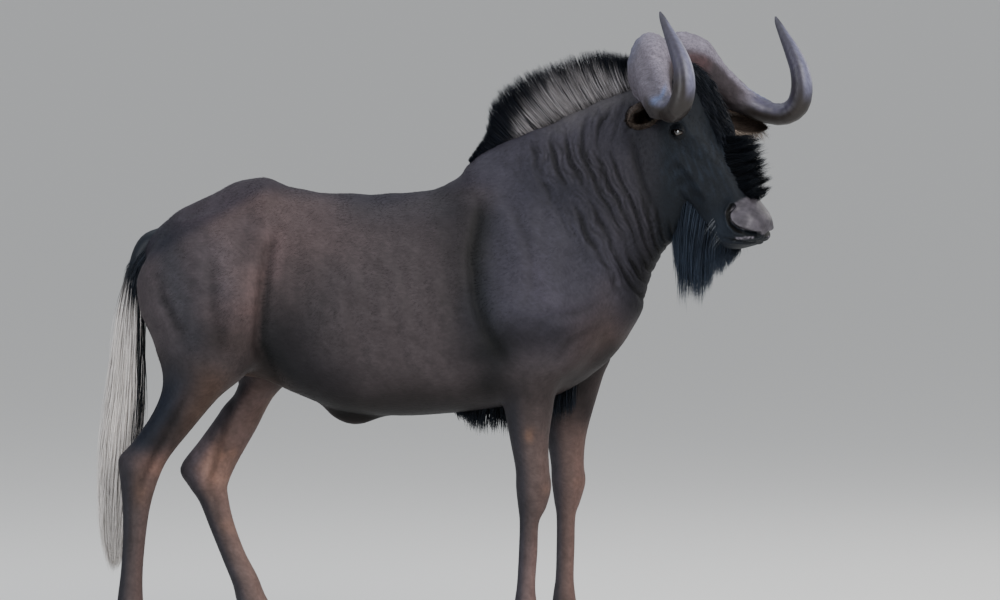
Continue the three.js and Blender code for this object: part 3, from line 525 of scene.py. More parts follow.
class Field:
    """Signed distances to the flesh on a grid of cubes, below zero inside."""

    def __init__(self):
        self.low = np.floor(BODY_LOW / VOXEL).astype(int)
        self.shape = tuple(int(n) for n in np.ceil(BODY_HIGH / VOXEL).astype(int) - self.low)
        self.values = None

    def distances(self, rings):
        """Distances to one closed form, as far as the band reaches."""
        points, quads, triangles = closed(rings)
        grid = openvdb.FloatGrid.createLevelSetFromPolygons(
            points.astype(np.float32),
            triangles=triangles.astype(np.uint32),
            quads=quads.astype(np.uint32),
            transform=openvdb.createLinearTransform(VOXEL),
            halfWidth=BAND,
        )
        values = np.empty(self.shape, np.float32)
        grid.copyToArray(values, ijk=tuple(int(n) for n in self.low))
        return values

    def add(self, rings, inset, blend=BLEND):
        """Smooth union: where two forms are equally near, the distance drops by a quarter of blend."""
        other = self.distances(rings) + np.float32(inset)
        if self.values is None:
            self.values = other
            return
        share = np.clip(0.5 + (other - self.values) / (2 * blend), 0, 1).astype(np.float32)
        self.values = other + (self.values - other) * share - blend * share * (1 - share)

    def at(self, points):
        """Distances at any places, straight between the grid's values."""
        spots = np.clip(points / VOXEL - self.low, 0, np.array(self.shape) - 1.001)
        start = spots.astype(int)
        part = spots - start
        total = np.zeros(len(points))
        for corner in np.ndindex(2, 2, 2):
            weight = np.where(corner, part, 1 - part).prod(1)
            total += weight * self.values[tuple((start + corner).T)]
        return total

    def slope(self, points):
        """The direction in which the distance grows, out of the flesh."""
        steps = np.eye(3) * VOXEL * 0.8
        rises = [self.at(points + step) - self.at(points - step) for step in steps]
        return np.stack(rises, 1) / (1.6 * VOXEL)

    def settle(self, points, rounds=2):
        """Points moved onto the surface: each by its distance over the slope's square, along the slope."""
        for _ in range(rounds):
            slope = self.slope(points)
            points = points - slope * (self.at(points) / np.maximum((slope**2).sum(1), 0.05))[:, None]
        return points

    def quads(self):
        """The surface as quads of twice the cubes' size."""
        coarse = np.ascontiguousarray(self.values[::2, ::2, ::2])
        grid = openvdb.FloatGrid(background=float(VOXEL * BAND))
        grid.copyFromArray(coarse, ijk=(0, 0, 0))
        grid.transform = openvdb.createLinearTransform(VOXEL * 2)
        points, quads = grid.convertToQuads(0.0)
        return points.astype(float) + self.low * VOXEL, quads.astype(int)


def flesh_field(coat_depth):
    """The field of the trunk, neck, limbs and head, each inset by the coat's depth over it."""
    field = Field()
    x, top, bottom, width, egg = np.array(TRUNK, float).T
    field.add(side_loft(x, top, x, bottom, 0.0, width, egg, 2.2), coat_depth)
    field.add(side_loft(*np.array(NECK, float).T, -0.25, 2.1), coat_depth, 40)
    field.add(sweep(refine(SHEATH_PATH, 4), refine(SHEATH_SIZES, 4), UP, 24), coat_depth / 2, 14)
    for *limb, _ in LIMBS.values():
        field.add(limb_rings(*limb), coat_depth / 2)
    field.add(head_rings(), coat_depth / 2, 18)
    return field


# Relief of the skin, in millimetres. Forms of the head: down, out and to the side of their two ends,
# radius and height; the same on both cheeks
HEAD_FORMS = [
    [-26, 20, 80, 24, 22, 80, 12, 5], [-40, -70, 84, 60, -62, 72, 36, 5],
    [40, -8, 78, 62, -10, 72, 15, -4], [60, -34, 74, 150, -30, 58, 12, 4],
    [84, 8, 66, 178, 12, 54, 14, -4], [222, 6, 54, 262, 2, 50, 20, 4],
    [110, -78, 52, 190, -76, 46, 12, 3], [-96, -20, 84, -60, -30, 88, 16, -3],
    [238, -80, 12, 262, -70, 10, 14, 3],
]
# Forms of the body: x, |y| and z of their two ends, radius and height
BODY_FORMS = [
    [-272, 78, 1092, -268, 92, 1070, 30, 8], [-300, 112, 1040, -300, 120, 1010, 24, -6],
    [-330, 150, 950, -330, 160, 820, 52, 7], [-440, 130, 930, -450, 130, 800, 34, 5],
    [280, 150, 1000, 330, 160, 820, 70, 7], [230, 150, 1010, 260, 150, 900, 26, -3],
    [300, 160, 800, 380, 165, 760, 44, 6], [420, 140, 900, 440, 130, 800, 30, -3],
    [-90, 165, 840, 90, 172, 820, 70, 3], [-200, 150, 760, -180, 150, 700, 40, -5],
    [-110, 90, 1060, -200, 90, 1066, 20, 3],
]
# Creases seen from the side: hand (0 for both), depth, half width and their points, x and z
CREASE_TAPER = 80
CREASES = [
    [0, 10, 15, [(222, 1080), (214, 1019), (198, 929), (208, 828), (230, 760), (262, 706), (300, 660)]],
    [-1, 11, 15, [(-240, 1000), (-262, 930), (-275, 828), (-282, 726), (-250, 640), (-215, 600)]],
    [1, 11, 15, [(-240, 1000), (-250, 930), (-235, 828), (-215, 740), (-180, 670), (-150, 620)]],
    [0, 5, 18, [(-395, 960), (-387, 902), (-380, 810), (-365, 728), (-350, 660)]],
    [0, 6, 13, [(-515, 900), (-502, 839), (-480, 790), (-455, 747), (-440, 690)]],
    [0, 5, 12, [(360, 660), (396, 701), (419, 735), (482, 764), (520, 790)]],
    [0, 4, 13, [(300, 740), (330, 760), (372, 790), (452, 800), (500, 830)]],
    [0, 4, 14, [(250, 1090), (300, 1020), (330, 930), (335, 850), (310, 790)]],
    [-1, 3, 9, [(300, 700), (322, 620), (334, 540), (340, 470)]],
    [1, 3, 9, [(380, 700), (404, 620), (416, 540), (420, 470)]],
    [0, 7, 9, [(555, 1230), (566, 1142), (581, 1088), (604, 1036), (622, 990)]],
    [1, 6, 9, [(-335, 640), (-368, 530), (-388, 447), (-420, 350)]],
    [-1, 8, 9, [(-430, 640), (-488, 530), (-520, 470), (-560, 380)]],
    [1, 4, 6, [(-405, 420), (-378, 300), (-340, 170)]],
    [-1, 4, 6, [(-572, 440), (-574, 320), (-578, 180)]],
    [-1, 4, 6, [(322, 390), (320, 250), (314, 150)]],
    [1, 4, 6, [(404, 390), (408, 250), (402, 150)]],
]


def on_hand(points, hand):
    """Whether points are on the right for -1, on the left for 1, and off the middle for 0."""
    return points[:, 1] * hand > 0 if hand else points[:, 1] != 0


def off_segment(points, start, end):
    """Distance of points from the straight line between two ends."""
    start, end = np.asarray(start, float), np.asarray(end, float)
    span = end - start
    share = np.clip((points - start) @ span / max(span @ span, 1e-9), 0, 1)
    return np.linalg.norm(points - start - share[:, None] * span, axis=1)


def off_line(points, line):
    """Distance of points from a line of straight pieces."""
    line = np.asarray(line, float)
    return np.min([off_segment(points, a, b) for a, b in zip(line[:-1], line[1:])], axis=0)


def neck_place(points):
    """Place along the neck in stations, and down it as a share of the way from crest to throat:
    where the signed distance to the stations' lines changes its sign."""
    ax, az, bx, bz = np.array(NECK, float)[:, :4].T
    length = np.hypot(bx - ax, bz - az)
    x, z = points[:, :1], points[:, 2:]
    ahead = ((x - ax) * (az - bz) + (z - az) * (bx - ax)) / length
    station = np.clip((ahead > 0).sum(1) - 1, 0, len(NECK) - 2)
    row = np.arange(len(points))
    before, after = ahead[row, station], ahead[row, station + 1]
    place_along = station + np.clip(before / np.maximum(before - after, 1e-6), -0.5, 1.5)
    down = ((x - ax) * (bx - ax) + (z - az) * (bz - az)) / length**2
    return place_along, down[row, station]


def wrinkles(points):
    """Folds across the neck: valleys at an even pitch along it, bent by noise and fading out; and
    lighter and darker streaks along them, a painted sheen of the hair."""
    along, down = neck_place(points)
    here = fade(along, 0.7, 2.0) * fade(along, 8.4, 7.2) * fade(down, 0.02, 0.16) * fade(down, 1.04, 0.86)
    head_down, head_out, _ = in_head(points).T
    here = here * (1 - fade(head_down, -85, -50) * fade(head_out, -165, -135))
    phase = along * 60 + 12 * ripple(points, 200, 5) + 105 * (1 - np.exp(-3 * down))
    wide = 0.5 + 0.5 * np.cos(2 * np.pi * phase / 30)
    narrow = 0.5 + 0.5 * np.cos(2 * np.pi * (phase + 7 * ripple(points, 70, 6)) / 15)
    strength = np.clip(0.7 + 0.5 * ripple(points, 110, 7), 0.12, 1.2)
    streak = np.sin(2 * np.pi * (phase + 5 * ripple(points, 50, 8)) / 8) * ripple(points, 45, 9)
    return -here * strength * (4.8 * wide**2 + 2.8 * narrow**2), here * streak


def creases(points):
    """Grooves seen from the side: each falls off evenly from its line and runs out at both ends."""
    flat = points[:, [0, 2]]
    height = np.zeros(len(points))
    outside = fade(np.abs(points[:, 1]), 30, 70)
    for hand, depth, half, line in CREASES:
        line = np.array(line, float)
        ends = [fade(np.linalg.norm(flat - end, axis=1), 0, CREASE_TAPER) for end in line[[0, -1]]]
        fall = depth * bell(off_line(flat, line), half)
        height -= fall * outside * on_hand(points, hand) * ends[0] * ends[1]
    return height


def body_relief(points):
    """Height of the muscles, hollows and ribs at each point, without the creases and folds."""
    mirrored = points * [1, 0, 1] + np.abs(points[:, 1:2]) * LEFT
    height = np.zeros(len(points))
    for *ends, radius, rise in BODY_FORMS:
        off = off_segment(mirrored, ends[:3], ends[3:])
        height += rise * bell(off, radius)
    ribs = np.sin((points[:, 0] + 0.25 * points[:, 2]) / 46 * 2 * np.pi)
    flank = fade(points[:, 0], -190, -80) * fade(points[:, 0], 190, 100)
    height += 1.0 * ribs * flank * fade(points[:, 2], 640, 720) * fade(points[:, 2], 960, 840)
    return height + 1.6 * ripple(points, 90, 3) * fade(points[:, 2], 560, 700)


# Crescent of a nostril and half of the mouth's line, on the right half and mirrored to the left
NOSTRIL = [
    [209, 18, 50], [217, 5, 57], [226, -1, 58], [240, -4, 56], [258, 3, 55], [272, 14, 53], [282, 19, 40],
    [287, 22, 24], [288, 23, 14],
]
MOUTH = [
    [222, -68, 48], [238, -60, 50], [254, -49, 50], [275, -18, 49], [288, -6, 39], [293, -4, 16],
    [295, 0, 0],
]


def head_relief(points):
    """Height of the brow, cheek, face crest and muzzle forms, less the mouth line and nostrils."""
    down, _, _, side = by_side(points)
    on_it = fade(down, -120, -80)
    height = np.zeros(len(points))
    for *ends, radius, rise in HEAD_FORMS:
        off = off_segment(side, ends[:3], ends[3:])
        height += rise * bell(off, radius) * on_it
    mouth = off_line(side, MOUTH)
    height -= 4.5 * bell(mouth, 2.6) * on_it
    height += 2.0 * bell(mouth - 8, 4.5) * on_it
    slit = off_line(side, NOSTRIL)
    height -= 13 * bell(slit, 6.0) * on_it
    height += 2.4 * bell(slit - 10, 4) * on_it
    return height


# Eyelids: the slant of the eye's long axis, the almond's half length and half height, and its roundness
SLANT = unit(FACE + 1.2 * BROW)
ALMOND = (16.5, 8.6)
ALMOND_POWER = 1.7
LID_THICKNESS = 3.2


def eye_frame(hand):
    """Centre of an eyeball, outward direction, the almond's long direction and its lift."""
    centre = on_head(0, 0, hand * EYE_SPREAD)
    out = CHEEK * hand
    return centre, out, SLANT, unit(np.cross(SLANT, out)) * hand


def lids(points):
    """Moves the skin round the eyes outwards or inwards only: over the ball at the lids' thickness,
    and inside an almond down behind the ball's surface."""
    for hand in (-1, 1):
        centre, out, long_way, lift = eye_frame(hand)
        offset = points - centre
        height = offset @ out
        along, up = offset @ long_way, offset @ lift
        span = np.hypot(along, up)
        near = (span < 34) & (height > 0)
        ball = np.sqrt(np.maximum((EYE_RADIUS + LID_THICKNESS) ** 2 - span**2, 0))
        soft = 5.0
        gap = np.clip(0.5 + (ball - height) / (2 * soft), 0, 1)
        over = height * (1 - gap) + ball * gap + soft * gap * (1 - gap)
        over = np.where(span < EYE_RADIUS + LID_THICKNESS + 2, over, height)
        inside = np.abs(along / ALMOND[0]) ** ALMOND_POWER + np.abs(up / ALMOND[1]) ** ALMOND_POWER
        rim = 1.1 * bell(inside - 1.25, 0.25)
        fold = -1.6 * bell(np.hypot(along * 0.8, up - 3) - 16.5, 2.0) * (up > 0)
        pit = np.sqrt(np.maximum((EYE_RADIUS - 3.0) ** 2 - span**2, 0))
        over = over + rim + fold
        target = over + (pit - over) * fade(inside, 1.0, 0.82)
        points = points + out * np.where(near, target - height, 0)[:, None]
    return points


def split_faces(mesh, chosen):
    """Splits the chosen faces in four, with the faces beside them joined on without gaps."""
    centres = read(mesh.polygons, "center", 3, np.float32)
    picked = np.flatnonzero(chosen(centres.astype(float)))
    work = bmesh.new()
    work.from_mesh(mesh)
    work.faces.ensure_lookup_table()
    edges = list({edge for index in picked for edge in work.faces[index].edges})
    bmesh.ops.subdivide_edges(work, edges=edges, cuts=1, use_grid_fill=True)
    work.to_mesh(mesh)
    work.free()


def near_folds(centres):
    """The head, and the neck and shoulder with their folds."""
    along, down = neck_place(centres)
    on_neck = (along > 0.9) & (down < 0.95) & (centres[:, 2] > 760) & (centres[:, 0] > 240)
    return on_neck | (in_head(centres)[:, 0] > -130) & (centres[:, 0] > 560)


def near_muzzle(centres):
    """The nose, the lips and the eyes' surroundings."""
    down, out, left, side = by_side(centres)
    near_mouth = off_line(side, MOUTH) < 16
    near_slit = off_line(side, NOSTRIL) < 18
    eye = (np.hypot(down, out) < 38) & (np.abs(left) > 50)
    return (near_mouth | near_slit | eye) & (down > -45)


def near_lids(centres):
    """The eyelids and the nostrils' rims."""
    down, out, left, side = by_side(centres)
    near_slit = off_line(side, NOSTRIL) < 8
    return near_slit | (np.hypot(down, out) < 25) & (np.abs(left) > 55)


def even_out(points, edges, field, rounds):
    """Each point moved towards the middle of its neighbours and back onto the surface."""
    ends = np.concatenate([edges, edges[:, ::-1]])
    counts = np.bincount(ends[:, 0], minlength=len(points))[:, None]
    for _ in range(rounds):
        sums = [np.bincount(ends[:, 0], points[ends[:, 1], axis], len(points)) for axis in range(3)]
        points = field.settle(points + 0.6 * (np.stack(sums, 1) / counts - points), 1)
    return points


def skin_shape(coat_depth):
    """The skin's mesh, its points' places, their outward directions and their painted shade, darker in the
    valleys of the neck's folds and of the creases.
    """
    field = flesh_field(coat_depth)
    points, quads = field.quads()
    mesh = bpy.data.meshes.new("Skin")
    mesh.from_pydata(points, [], quads)
    for region in (near_folds, near_muzzle, near_lids):
        split_faces(mesh, region)
    edges = read(mesh.edges, "vertices", 2, np.int32)
    points = field.settle(read(mesh.vertices, "co", 3, np.float32).astype(float))
    points = even_out(points, edges, field, 4)
    points = field.settle(points)
    normals = unit(field.slope(points))
    (folds, fold_sheen), grooves = wrinkles(points), creases(points)
    height = body_relief(points) + head_relief(points) + folds + grooves
    raised = lids(points + normals * height[:, None])
    mesh.vertices.foreach_set("co", raised.astype(np.float32).ravel())
    mesh.update()
    # painted shade: the skin darker in the valleys of the neck's folds and of the creases
    shade = (0.3 + 0.7 * fade(folds, -5.5, -0.2)) * (0.5 + 0.5 * fade(grooves, -8, 0))
    # painted sheen: lighter and darker streaks along the neck's folds
    shade = shade * (1 + 0.3 * fold_sheen)
    return mesh, raised, normals, shade


# Colours: linear red, green and blue of the coat's parts
COAT_COLOURS = {
    "body": ((0.036, 0.029, 0.031), "Flanks and back, dark brown"),
    "hip": ((0.064, 0.045, 0.045), "Hips and rump, reddish brown"),
    # belly: the dark underside, darkened as painted shade under the body; the same colour paints shade in
    # the flank's hollow, down the throat, behind the jaw and on the limbs' rear edges
    "belly": ((0.011, 0.009, 0.009), "Belly and the flank's hollow"),
    "shoulder": ((0.027, 0.025, 0.034), "Shoulder, charcoal"),
    "neck": ((0.024, 0.022, 0.028), "Sides of the neck"),
    # topline: dark brown with a painted bluish sky sheen, kept darker as painted shade against the light
    # from above
    "topline": ((0.017, 0.014, 0.021), "Line of the back, bluish dark brown"),
    "face": ((0.0060, 0.0080, 0.0116), "Face and jaw, black"),
    "leg": ((0.046, 0.034, 0.033), "Limbs, brown"),
    "shank": ((0.050, 0.028, 0.019), "Lit brown of the gaskins and hocks"),
    "muzzle": ((0.076, 0.069, 0.081), "Bare pad between the nostrils"),
}
HAIR_COLOURS = {
    "black": ((0.0055, 0.0074, 0.0112), "Beard, nose brush, chest fringe and dock"),
    "mane_pale": ((0.27, 0.255, 0.265), "Pale band at the base of the mane"),
    "mane_dark": ((0.0040, 0.0055, 0.0105), "Black tips of the mane"),
    "tail": ((0.68, 0.64, 0.61), "Long off-white hair of the tail"),
    "forelock": ((0.0070, 0.0085, 0.0125), "Rough hair between the horns"),
    "ear": ((0.036, 0.026, 0.021), "Backs of the ears"),
    "ear_rim": ((0.10, 0.082, 0.068), "Pale hairs on the ears' rims"),
}
HAIR_COUNTS = {
    "mane": 5600, "beard": 4600, "nose_brush": 3400, "chest_fringe": 2000, "forelock": 1200, "whiskers": 44,
    "lashes": 120, "chin": 600, "tail": 5400, "dock": 1000, "ear": 2600,
}
KERATIN_COLOURS = {
    "boss": ((0.088, 0.078, 0.098), "Rough pinkish grey base of the horns"),
    "shaft": ((0.036, 0.033, 0.052), "Bluish grey shaft of the horns"),
    "tip": ((0.038, 0.036, 0.048), "Dark smooth tips of the horns"),
    "hoof": ((0.022, 0.019, 0.018), "Dark keratin of the hooves"),
    "iris": ((0.012, 0.007, 0.004), "Dark brown iris"),
}


def blend(first, second, share):
    """First colour to the second by a share for each point."""
    return first + (np.asarray(second) - first) * share[:, None]


def layered(tint, *layers):
    """A colour with others laid over it in turn, each by its share for each point."""
    for colour, share in layers:
        tint = blend(tint, colour, share)
    return tint


# Worn, warmer patches of the limbs: places seen from the side, x and z, and their radius
LEG_PATCHES = [
    ([(-505, 440), (-352, 450), (-366, 410)], 24),
    ([(372, 395), (452, 395), (330, 520)], 16),
    ([(-535, 380), (-352, 300)], 18),
]
# Painted light and shade on the coat, partly its own lighter and darker parts: hand (0 for both),
# radius, factor of red, green and blue, and the line that they follow, seen from the side
SHADES = [
    [0, 58, (0.4, 0.52, 0.62), [(-500, 960), (-485, 930), (-465, 830), (-430, 745)]],
    [0, 46, (0.62, 0.7, 0.76), [(-565, 900), (-548, 830), (-515, 745), (-480, 690)]],
    [0, 46, (0.56, 0.56, 0.54), [(-380, 735), (-330, 730), (-300, 700)]],
    [0, 48, (1.05, 1.15, 1.22), [(-375, 930), (-368, 870)]],
    [0, 38, (1.15, 1.08, 1.05), [(-296, 880), (-292, 810)]],
    [0, 38, (0.68, 0.72, 0.76), [(-416, 965), (-414, 850)]],
    [0, 40, (0.66, 0.69, 0.72), [(-308, 1005), (-306, 925)]],
    [0, 34, (0.76, 0.78, 0.82), [(-360, 840), (-360, 780)]],
    [0, 26, (1.6, 1.5, 1.5), [(-250, 960), (-252, 890)]],
    [0, 62, (0.52, 0.52, 0.56), [(-215, 740), (-190, 680), (-120, 625)]],
    [-1, 50, (0.62, 0.68, 0.78), [(-440, 640), (-490, 575), (-530, 520)]],
    [-1, 30, (0.45, 0.62, 0.8), [(-498, 610), (-505, 560), (-545, 515)]],
    [-1, 34, (1.6, 1.4, 1.3), [(-575, 470), (-525, 458)]],
    [0, 36, (0.36, 0.42, 0.42), [(223, 1000), (209, 929), (212, 850), (225, 780), (250, 720)]],
    [0, 46, (0.36, 0.4, 0.42), [(232, 705), (262, 715), (240, 640)]],
    [0, 34, (0.5, 0.5, 0.52), [(285, 748), (330, 742), (393, 752)]],
    [0, 50, (0.58, 0.6, 0.62), [(150, 1040), (160, 940), (170, 840), (185, 720)]],
    [0, 56, (0.72, 0.75, 0.8), [(-60, 1050), (60, 1040), (160, 1040)]],
    [0, 34, (1.4, 1.36, 1.36), [(339, 895), (345, 850), (393, 806)]],
    [0, 30, (1.2, 1.12, 1.02), [(500, 850), (500, 740)]],
    [0, 42, (0.62, 0.64, 0.68), [(340, 1110), (345, 1080), (440, 1072), (500, 1040)]],
    [0, 32, (0.3, 0.3, 0.32), [(440, 640), (480, 665), (515, 700)]],
    [0, 38, 0.1, [(-100, 562), (50, 550), (180, 554)]],
    [0, 40, 0.5, [(-272, 665), (-238, 620)]],
    [-1, 28, (0.5, 0.55, 0.62), [(-470, 548), (-480, 508), (-520, 505)]],
    [0, 48, (0.36, 0.36, 0.38), [(680, 990), (645, 940), (618, 890), (596, 820)]],
    [0, 32, (0.55, 0.57, 0.6), [(566, 960), (575, 880), (565, 790)]],
    [0, 36, (0.55, 0.58, 0.58), [(575, 1230), (590, 1130), (612, 1050)]],
    [-1, 46, (0.6, 0.62, 0.64), [(300, 610), (400, 612)]],
    [-1, 40, (1.3, 1.25, 1.2), [(330, 470), (330, 400)]],
    [-1, 50, (1.7, 1.6, 1.6), [(320, 230), (320, 130)]],
    [0, 44, (0.76, 0.78, 0.8), [(407, 1050), (440, 980), (470, 930)]],
    [1, 50, (1.9, 1.8, 1.7), [(-400, 450), (-385, 380), (-340, 240), (-290, 90)]],
    [1, 38, (2.6, 2.4, 2.3), [(-424, 475), (-424, 420)]],
    [1, 60, (2.2, 2, 1.9), [(-280, 610), (-340, 540)]],
    [1, 46, (0.35, 0.35, 0.37), [(430, 640), (450, 600), (456, 560)]],
    [1, 50, (1.7, 1.55, 1.45), [(440, 500), (425, 430), (412, 380), (410, 160)]],
]


def shades(points):
    """The factor of each colour at each point, painted light and shade: every line's factor, fading out
    round it.
    """
    flat = points[:, [0, 2]]
    factor = np.ones(points.shape)
    for hand, radius, tone, line in SHADES:
        near = bell(off_line(flat, line), radius) * on_hand(points, hand)
        factor *= 1 + (np.array(tone) - 1) * near[:, None]
    return factor


def across_limb(points):
    """Place across the nearest limb, 0 at its rear edge and 1 at its front, seen from the side."""
    share = np.zeros(len(points))
    for name, (rows, _, hand, *_) in LIMBS.items():
        rear_x, rear_z, front_x, front_z = np.array(rows, float)[::-1].T
        here = (points[:, 1] * hand > 0) & ((points[:, 0] > 0) == name.startswith("fore"))
        rear = np.interp(points[:, 2], rear_z, rear_x)
        front = np.interp(points[:, 2], front_z, front_x)
        share = np.where(here, (points[:, 0] - rear) / (front - rear), share)
    return share


def limb_share(points):
    """How much a point belongs to the limbs: below the belly's line at its place along the body."""
    x, z = points[:, 0], points[:, 2]
    edge = np.interp(x, [-560, -400, -250, -150, 200, 330, 480], [700, 680, 660, 560, 590, 640, 680])
    return fade(z, edge + 40, edge - 60)


def coat_tint(points):
    """Colour of the coat, with painted light and shade, and the share of hair on it, from the place on the
    body alone.
    """
    colour = colours_of(bpy.context.scene.wildebeest_coat, COAT_COLOURS)
    x, y, z = points.T
    along, share_down = neck_place(points)
    soft = ripple(points, 160, 21)
    speck = ripple(points, 34, 22)
    rear = fade(x + 26 * soft, -120, -300) * fade(z, 640, 760)
    saddle = fade(x + 30 * soft, 40, -220) * fade(z + 20 * soft, 860, 960)
    back = np.interp(x, [-560, -270, 0, 200], [880, 1050, 1020, 1060])
    thigh_front = np.interp(z, [650, 726, 828, 930], [-250, -282, -275, -262]) + 45 * (y > 0)
    # the flank's hollow before the thigh, darkened as painted shade
    near_pit = ((x - thigh_front) / 130) ** 2 + ((z - 705) / 200) ** 2
    pit = np.exp(-near_pit) * fade(x - thigh_front, -4, 8)
    front = fade(x + 20 * soft, 170, 260)
    necked = fade(along, 1.2, 3.2)
    # painted shade down the throat and behind the jaw
    dark = np.maximum(0.5 * fade(share_down, 0.75, 1.0), 0.5 * fade(along, 5.2, 7.4))
    legs = limb_share(points)
    shanks = legs * fade(x, -150, -250) * fade(z, 330, 430) * (0.5 + 0.5 * soft)
    tint = layered(
        np.broadcast_to(colour["body"], points.shape),
        (colour["hip"], rear * (0.9 + 0.1 * speck)),
        (colour["hip"], 0.7 * saddle),
        # painted sky sheen and painted shade along the back's line
        (colour["topline"], 0.8 * fade(z - back, 0, 40)),
        # painted shade under the belly and in the flank's hollow
        (colour["belly"], 0.9 * fade(z + 20 * soft, 690, 578)),
        (colour["belly"] * [0.6, 0.85, 1.0], 0.95 * pit),
        (colour["shoulder"], front * fade(z, 640, 800)),
        (colour["hip"] * 0.6, front * fade(z, 860, 700) * fade(x, 380, 470)),
        (colour["neck"], necked * (0.8 + 0.2 * speck)),
        (colour["shoulder"], 0.5 * necked * fade(share_down, 0.45, 0.1)),
        # painted shade down the throat and behind the jaw
        (colour["belly"], necked * dark),
        (colour["leg"], legs),
        (colour["shank"], np.clip(shanks, 0, 1)),
    )
    for spots, radius in LEG_PATCHES:
        near = np.min([np.linalg.norm(points[:, [0, 2]] - spot, axis=1) for spot in spots], axis=0)
        tint = blend(tint, colour["shank"] * 2.2, 0.8 * bell(near, radius) * (0.6 + 0.4 * speck))
    across = across_limb(points)
    crest = fade(share_down + 0.02 * speck, 0.15, 0.01) * fade(along, 2.0, 3.2)
    tint = layered(
        tint,
        # painted shade on the limbs' rear edges and painted light on their lower fronts
        (colour["belly"] * [1.1, 1.4, 1.9], 0.9 * legs * fade(across, 0.52, 0.16)),
        (colour["leg"] * [1.7, 1.5, 1.4], 0.7 * legs * fade(across, 0.5, 0.85) * fade(z, 560, 420)),
        (colour["belly"], 0.8 * legs * fade(z, 110, 60)),
        ([0.062, 0.058, 0.062], 0.75 * crest),
    )
    # painted light and shade of SHADES, and random speckle
    tint = tint * shades(points) * (1 + 0.08 * speck + 0.07 * ripple(points, 14, 23))[:, None]
    tint, bare = head_tint(points, tint, colour, speck)
    return np.concatenate([np.clip(tint, 0.002, 1), 1 - bare[:, None]], 1)


def head_tint(points, tint, colour, speck):
    """The coat's colour with the head's over it: black with a painted bluish sky reflection, streaky, on
    the bridge, a grey pad, slits and mouth line darkened by painted shade, and a pale lip; and the share of
    bare wet skin."""
    down, out, left, side = by_side(points)
    streak = ripple(side * [0.16, 1, 1], 8, 25)
    headed = fade(down - 0.25 * np.abs(left) + 16 * streak, -135, -95) * fade(points[:, 0], 585, 640)
    # painted sky reflection: the bridge of the face lighter and bluer, in streaks
    lit = bell(down - 85, 85) * fade(out, -125, -60) * np.clip(0.45 + 0.9 * streak, 0, 2)
    lips = bell(down - 235, 34) * fade(out, -80, -55) * fade(out, 5, -15)
    face = colour["face"] * (0.8 + (0.5 * lit + 1.2 * lips)[:, None] + lit[:, None] * [0.0, 0.05, 0.1])
    tint = tint + (face - tint) * headed[:, None]
    slit = off_line(side, NOSTRIL)
    mouth = off_line(side, MOUTH)
    above_slit = out - np.interp(down, [240, 258, 272, 282, 290], [-6, 3, 14, 19, 23])
    pad = fade(down + 0.25 * out, 208, 216) * fade(above_slit, 0, 5)
    grain = np.clip(0.55 + 0.6 * speck + 0.3 * ripple(points, 12, 24), 0, 1)
    lip = off_line(side, [[276, -9, 51], [285, 6, 43], [290, 14, 25]])
    eye = np.hypot(down, out) * (np.abs(left) > 50) + 99 * (np.abs(left) <= 50)
    tint = layered(
        tint,
        (colour["muzzle"] * 0.6, pad),
        (colour["muzzle"], pad * grain),
        (colour["muzzle"] * 2.2, 0.8 * fade(lip, 5, 2.5) * (0.55 + 0.45 * ripple(points, 9, 26))),
        # painted shade inside the nostrils and along the mouth's line
        (colour["face"] * 0.1, np.maximum(fade(slit, 9, 6), fade(mouth, 3.4, 1.8)) * headed),
        (colour["face"] * 0.35, fade(eye, 24, 18)),
    )
    return tint, np.clip(pad * fade(slit, 5, 9) + fade(mouth, 5, 3) * headed + fade(eye, 20, 15), 0, 1)


# Short coat: spikes of three sides in two lengths, on random places of the skin
def spots_on(mesh, points, weight, count, seed):
    """Random places on a mesh's triangles, in proportion to their area and the weight at their middle:
    the triangles' corner numbers and the shares of each corner."""
    mesh.calc_loop_triangles()
    corners = read(mesh.loop_triangles, "vertices", 3, np.int32)
    a, b, c = (points[corners[:, k]] for k in range(3))
    chance = np.linalg.norm(np.cross(b - a, c - a), axis=1) * weight((a + b + c) / 3)
    draw = np.random.default_rng(seed)
    steps = (np.arange(count) + draw.uniform(size=count)) / count
    total = np.cumsum(chance)
    picked = np.searchsorted(total / total[-1], steps)
    first, second = np.sqrt(draw.uniform(size=count)), draw.uniform(size=count)
    shares = np.stack([1 - first, first * (1 - second), first * second], 1)
    return corners[np.minimum(picked, len(corners) - 1)], shares


def lie_of_coat(points):
    """Direction of the hair: back and down on the trunk, back down the neck, down the limbs and face."""
    along, _ = neck_place(points)
    lie = np.broadcast_to([-0.9, 0.0, -0.4], points.shape).copy()
    lie = blend(lie, [-0.62, 0.0, -0.8], fade(along, 0.3, 2.0))
    lie = blend(lie, [0.05, 0.0, -1.0], limb_share(points))
    lie = blend(lie, FACE, fade(in_head(points)[:, 0], -130, -80) * fade(points[:, 0], 585, 640))
    swirl = np.stack([ripple(points, 70, seed) for seed in (31, 32, 33)], 1)
    return lie + 0.35 * swirl


# Map places of a spike's seven points: across it, and from its root to its tip
SPIKE_ACROSS = np.array([0.1, 0.9, 0.5, 0.2, 0.8, 0.5, 0.5])
SPIKE_SHARE = np.array([0, 0, 0, 0.5, 0.5, 0.5, 1])


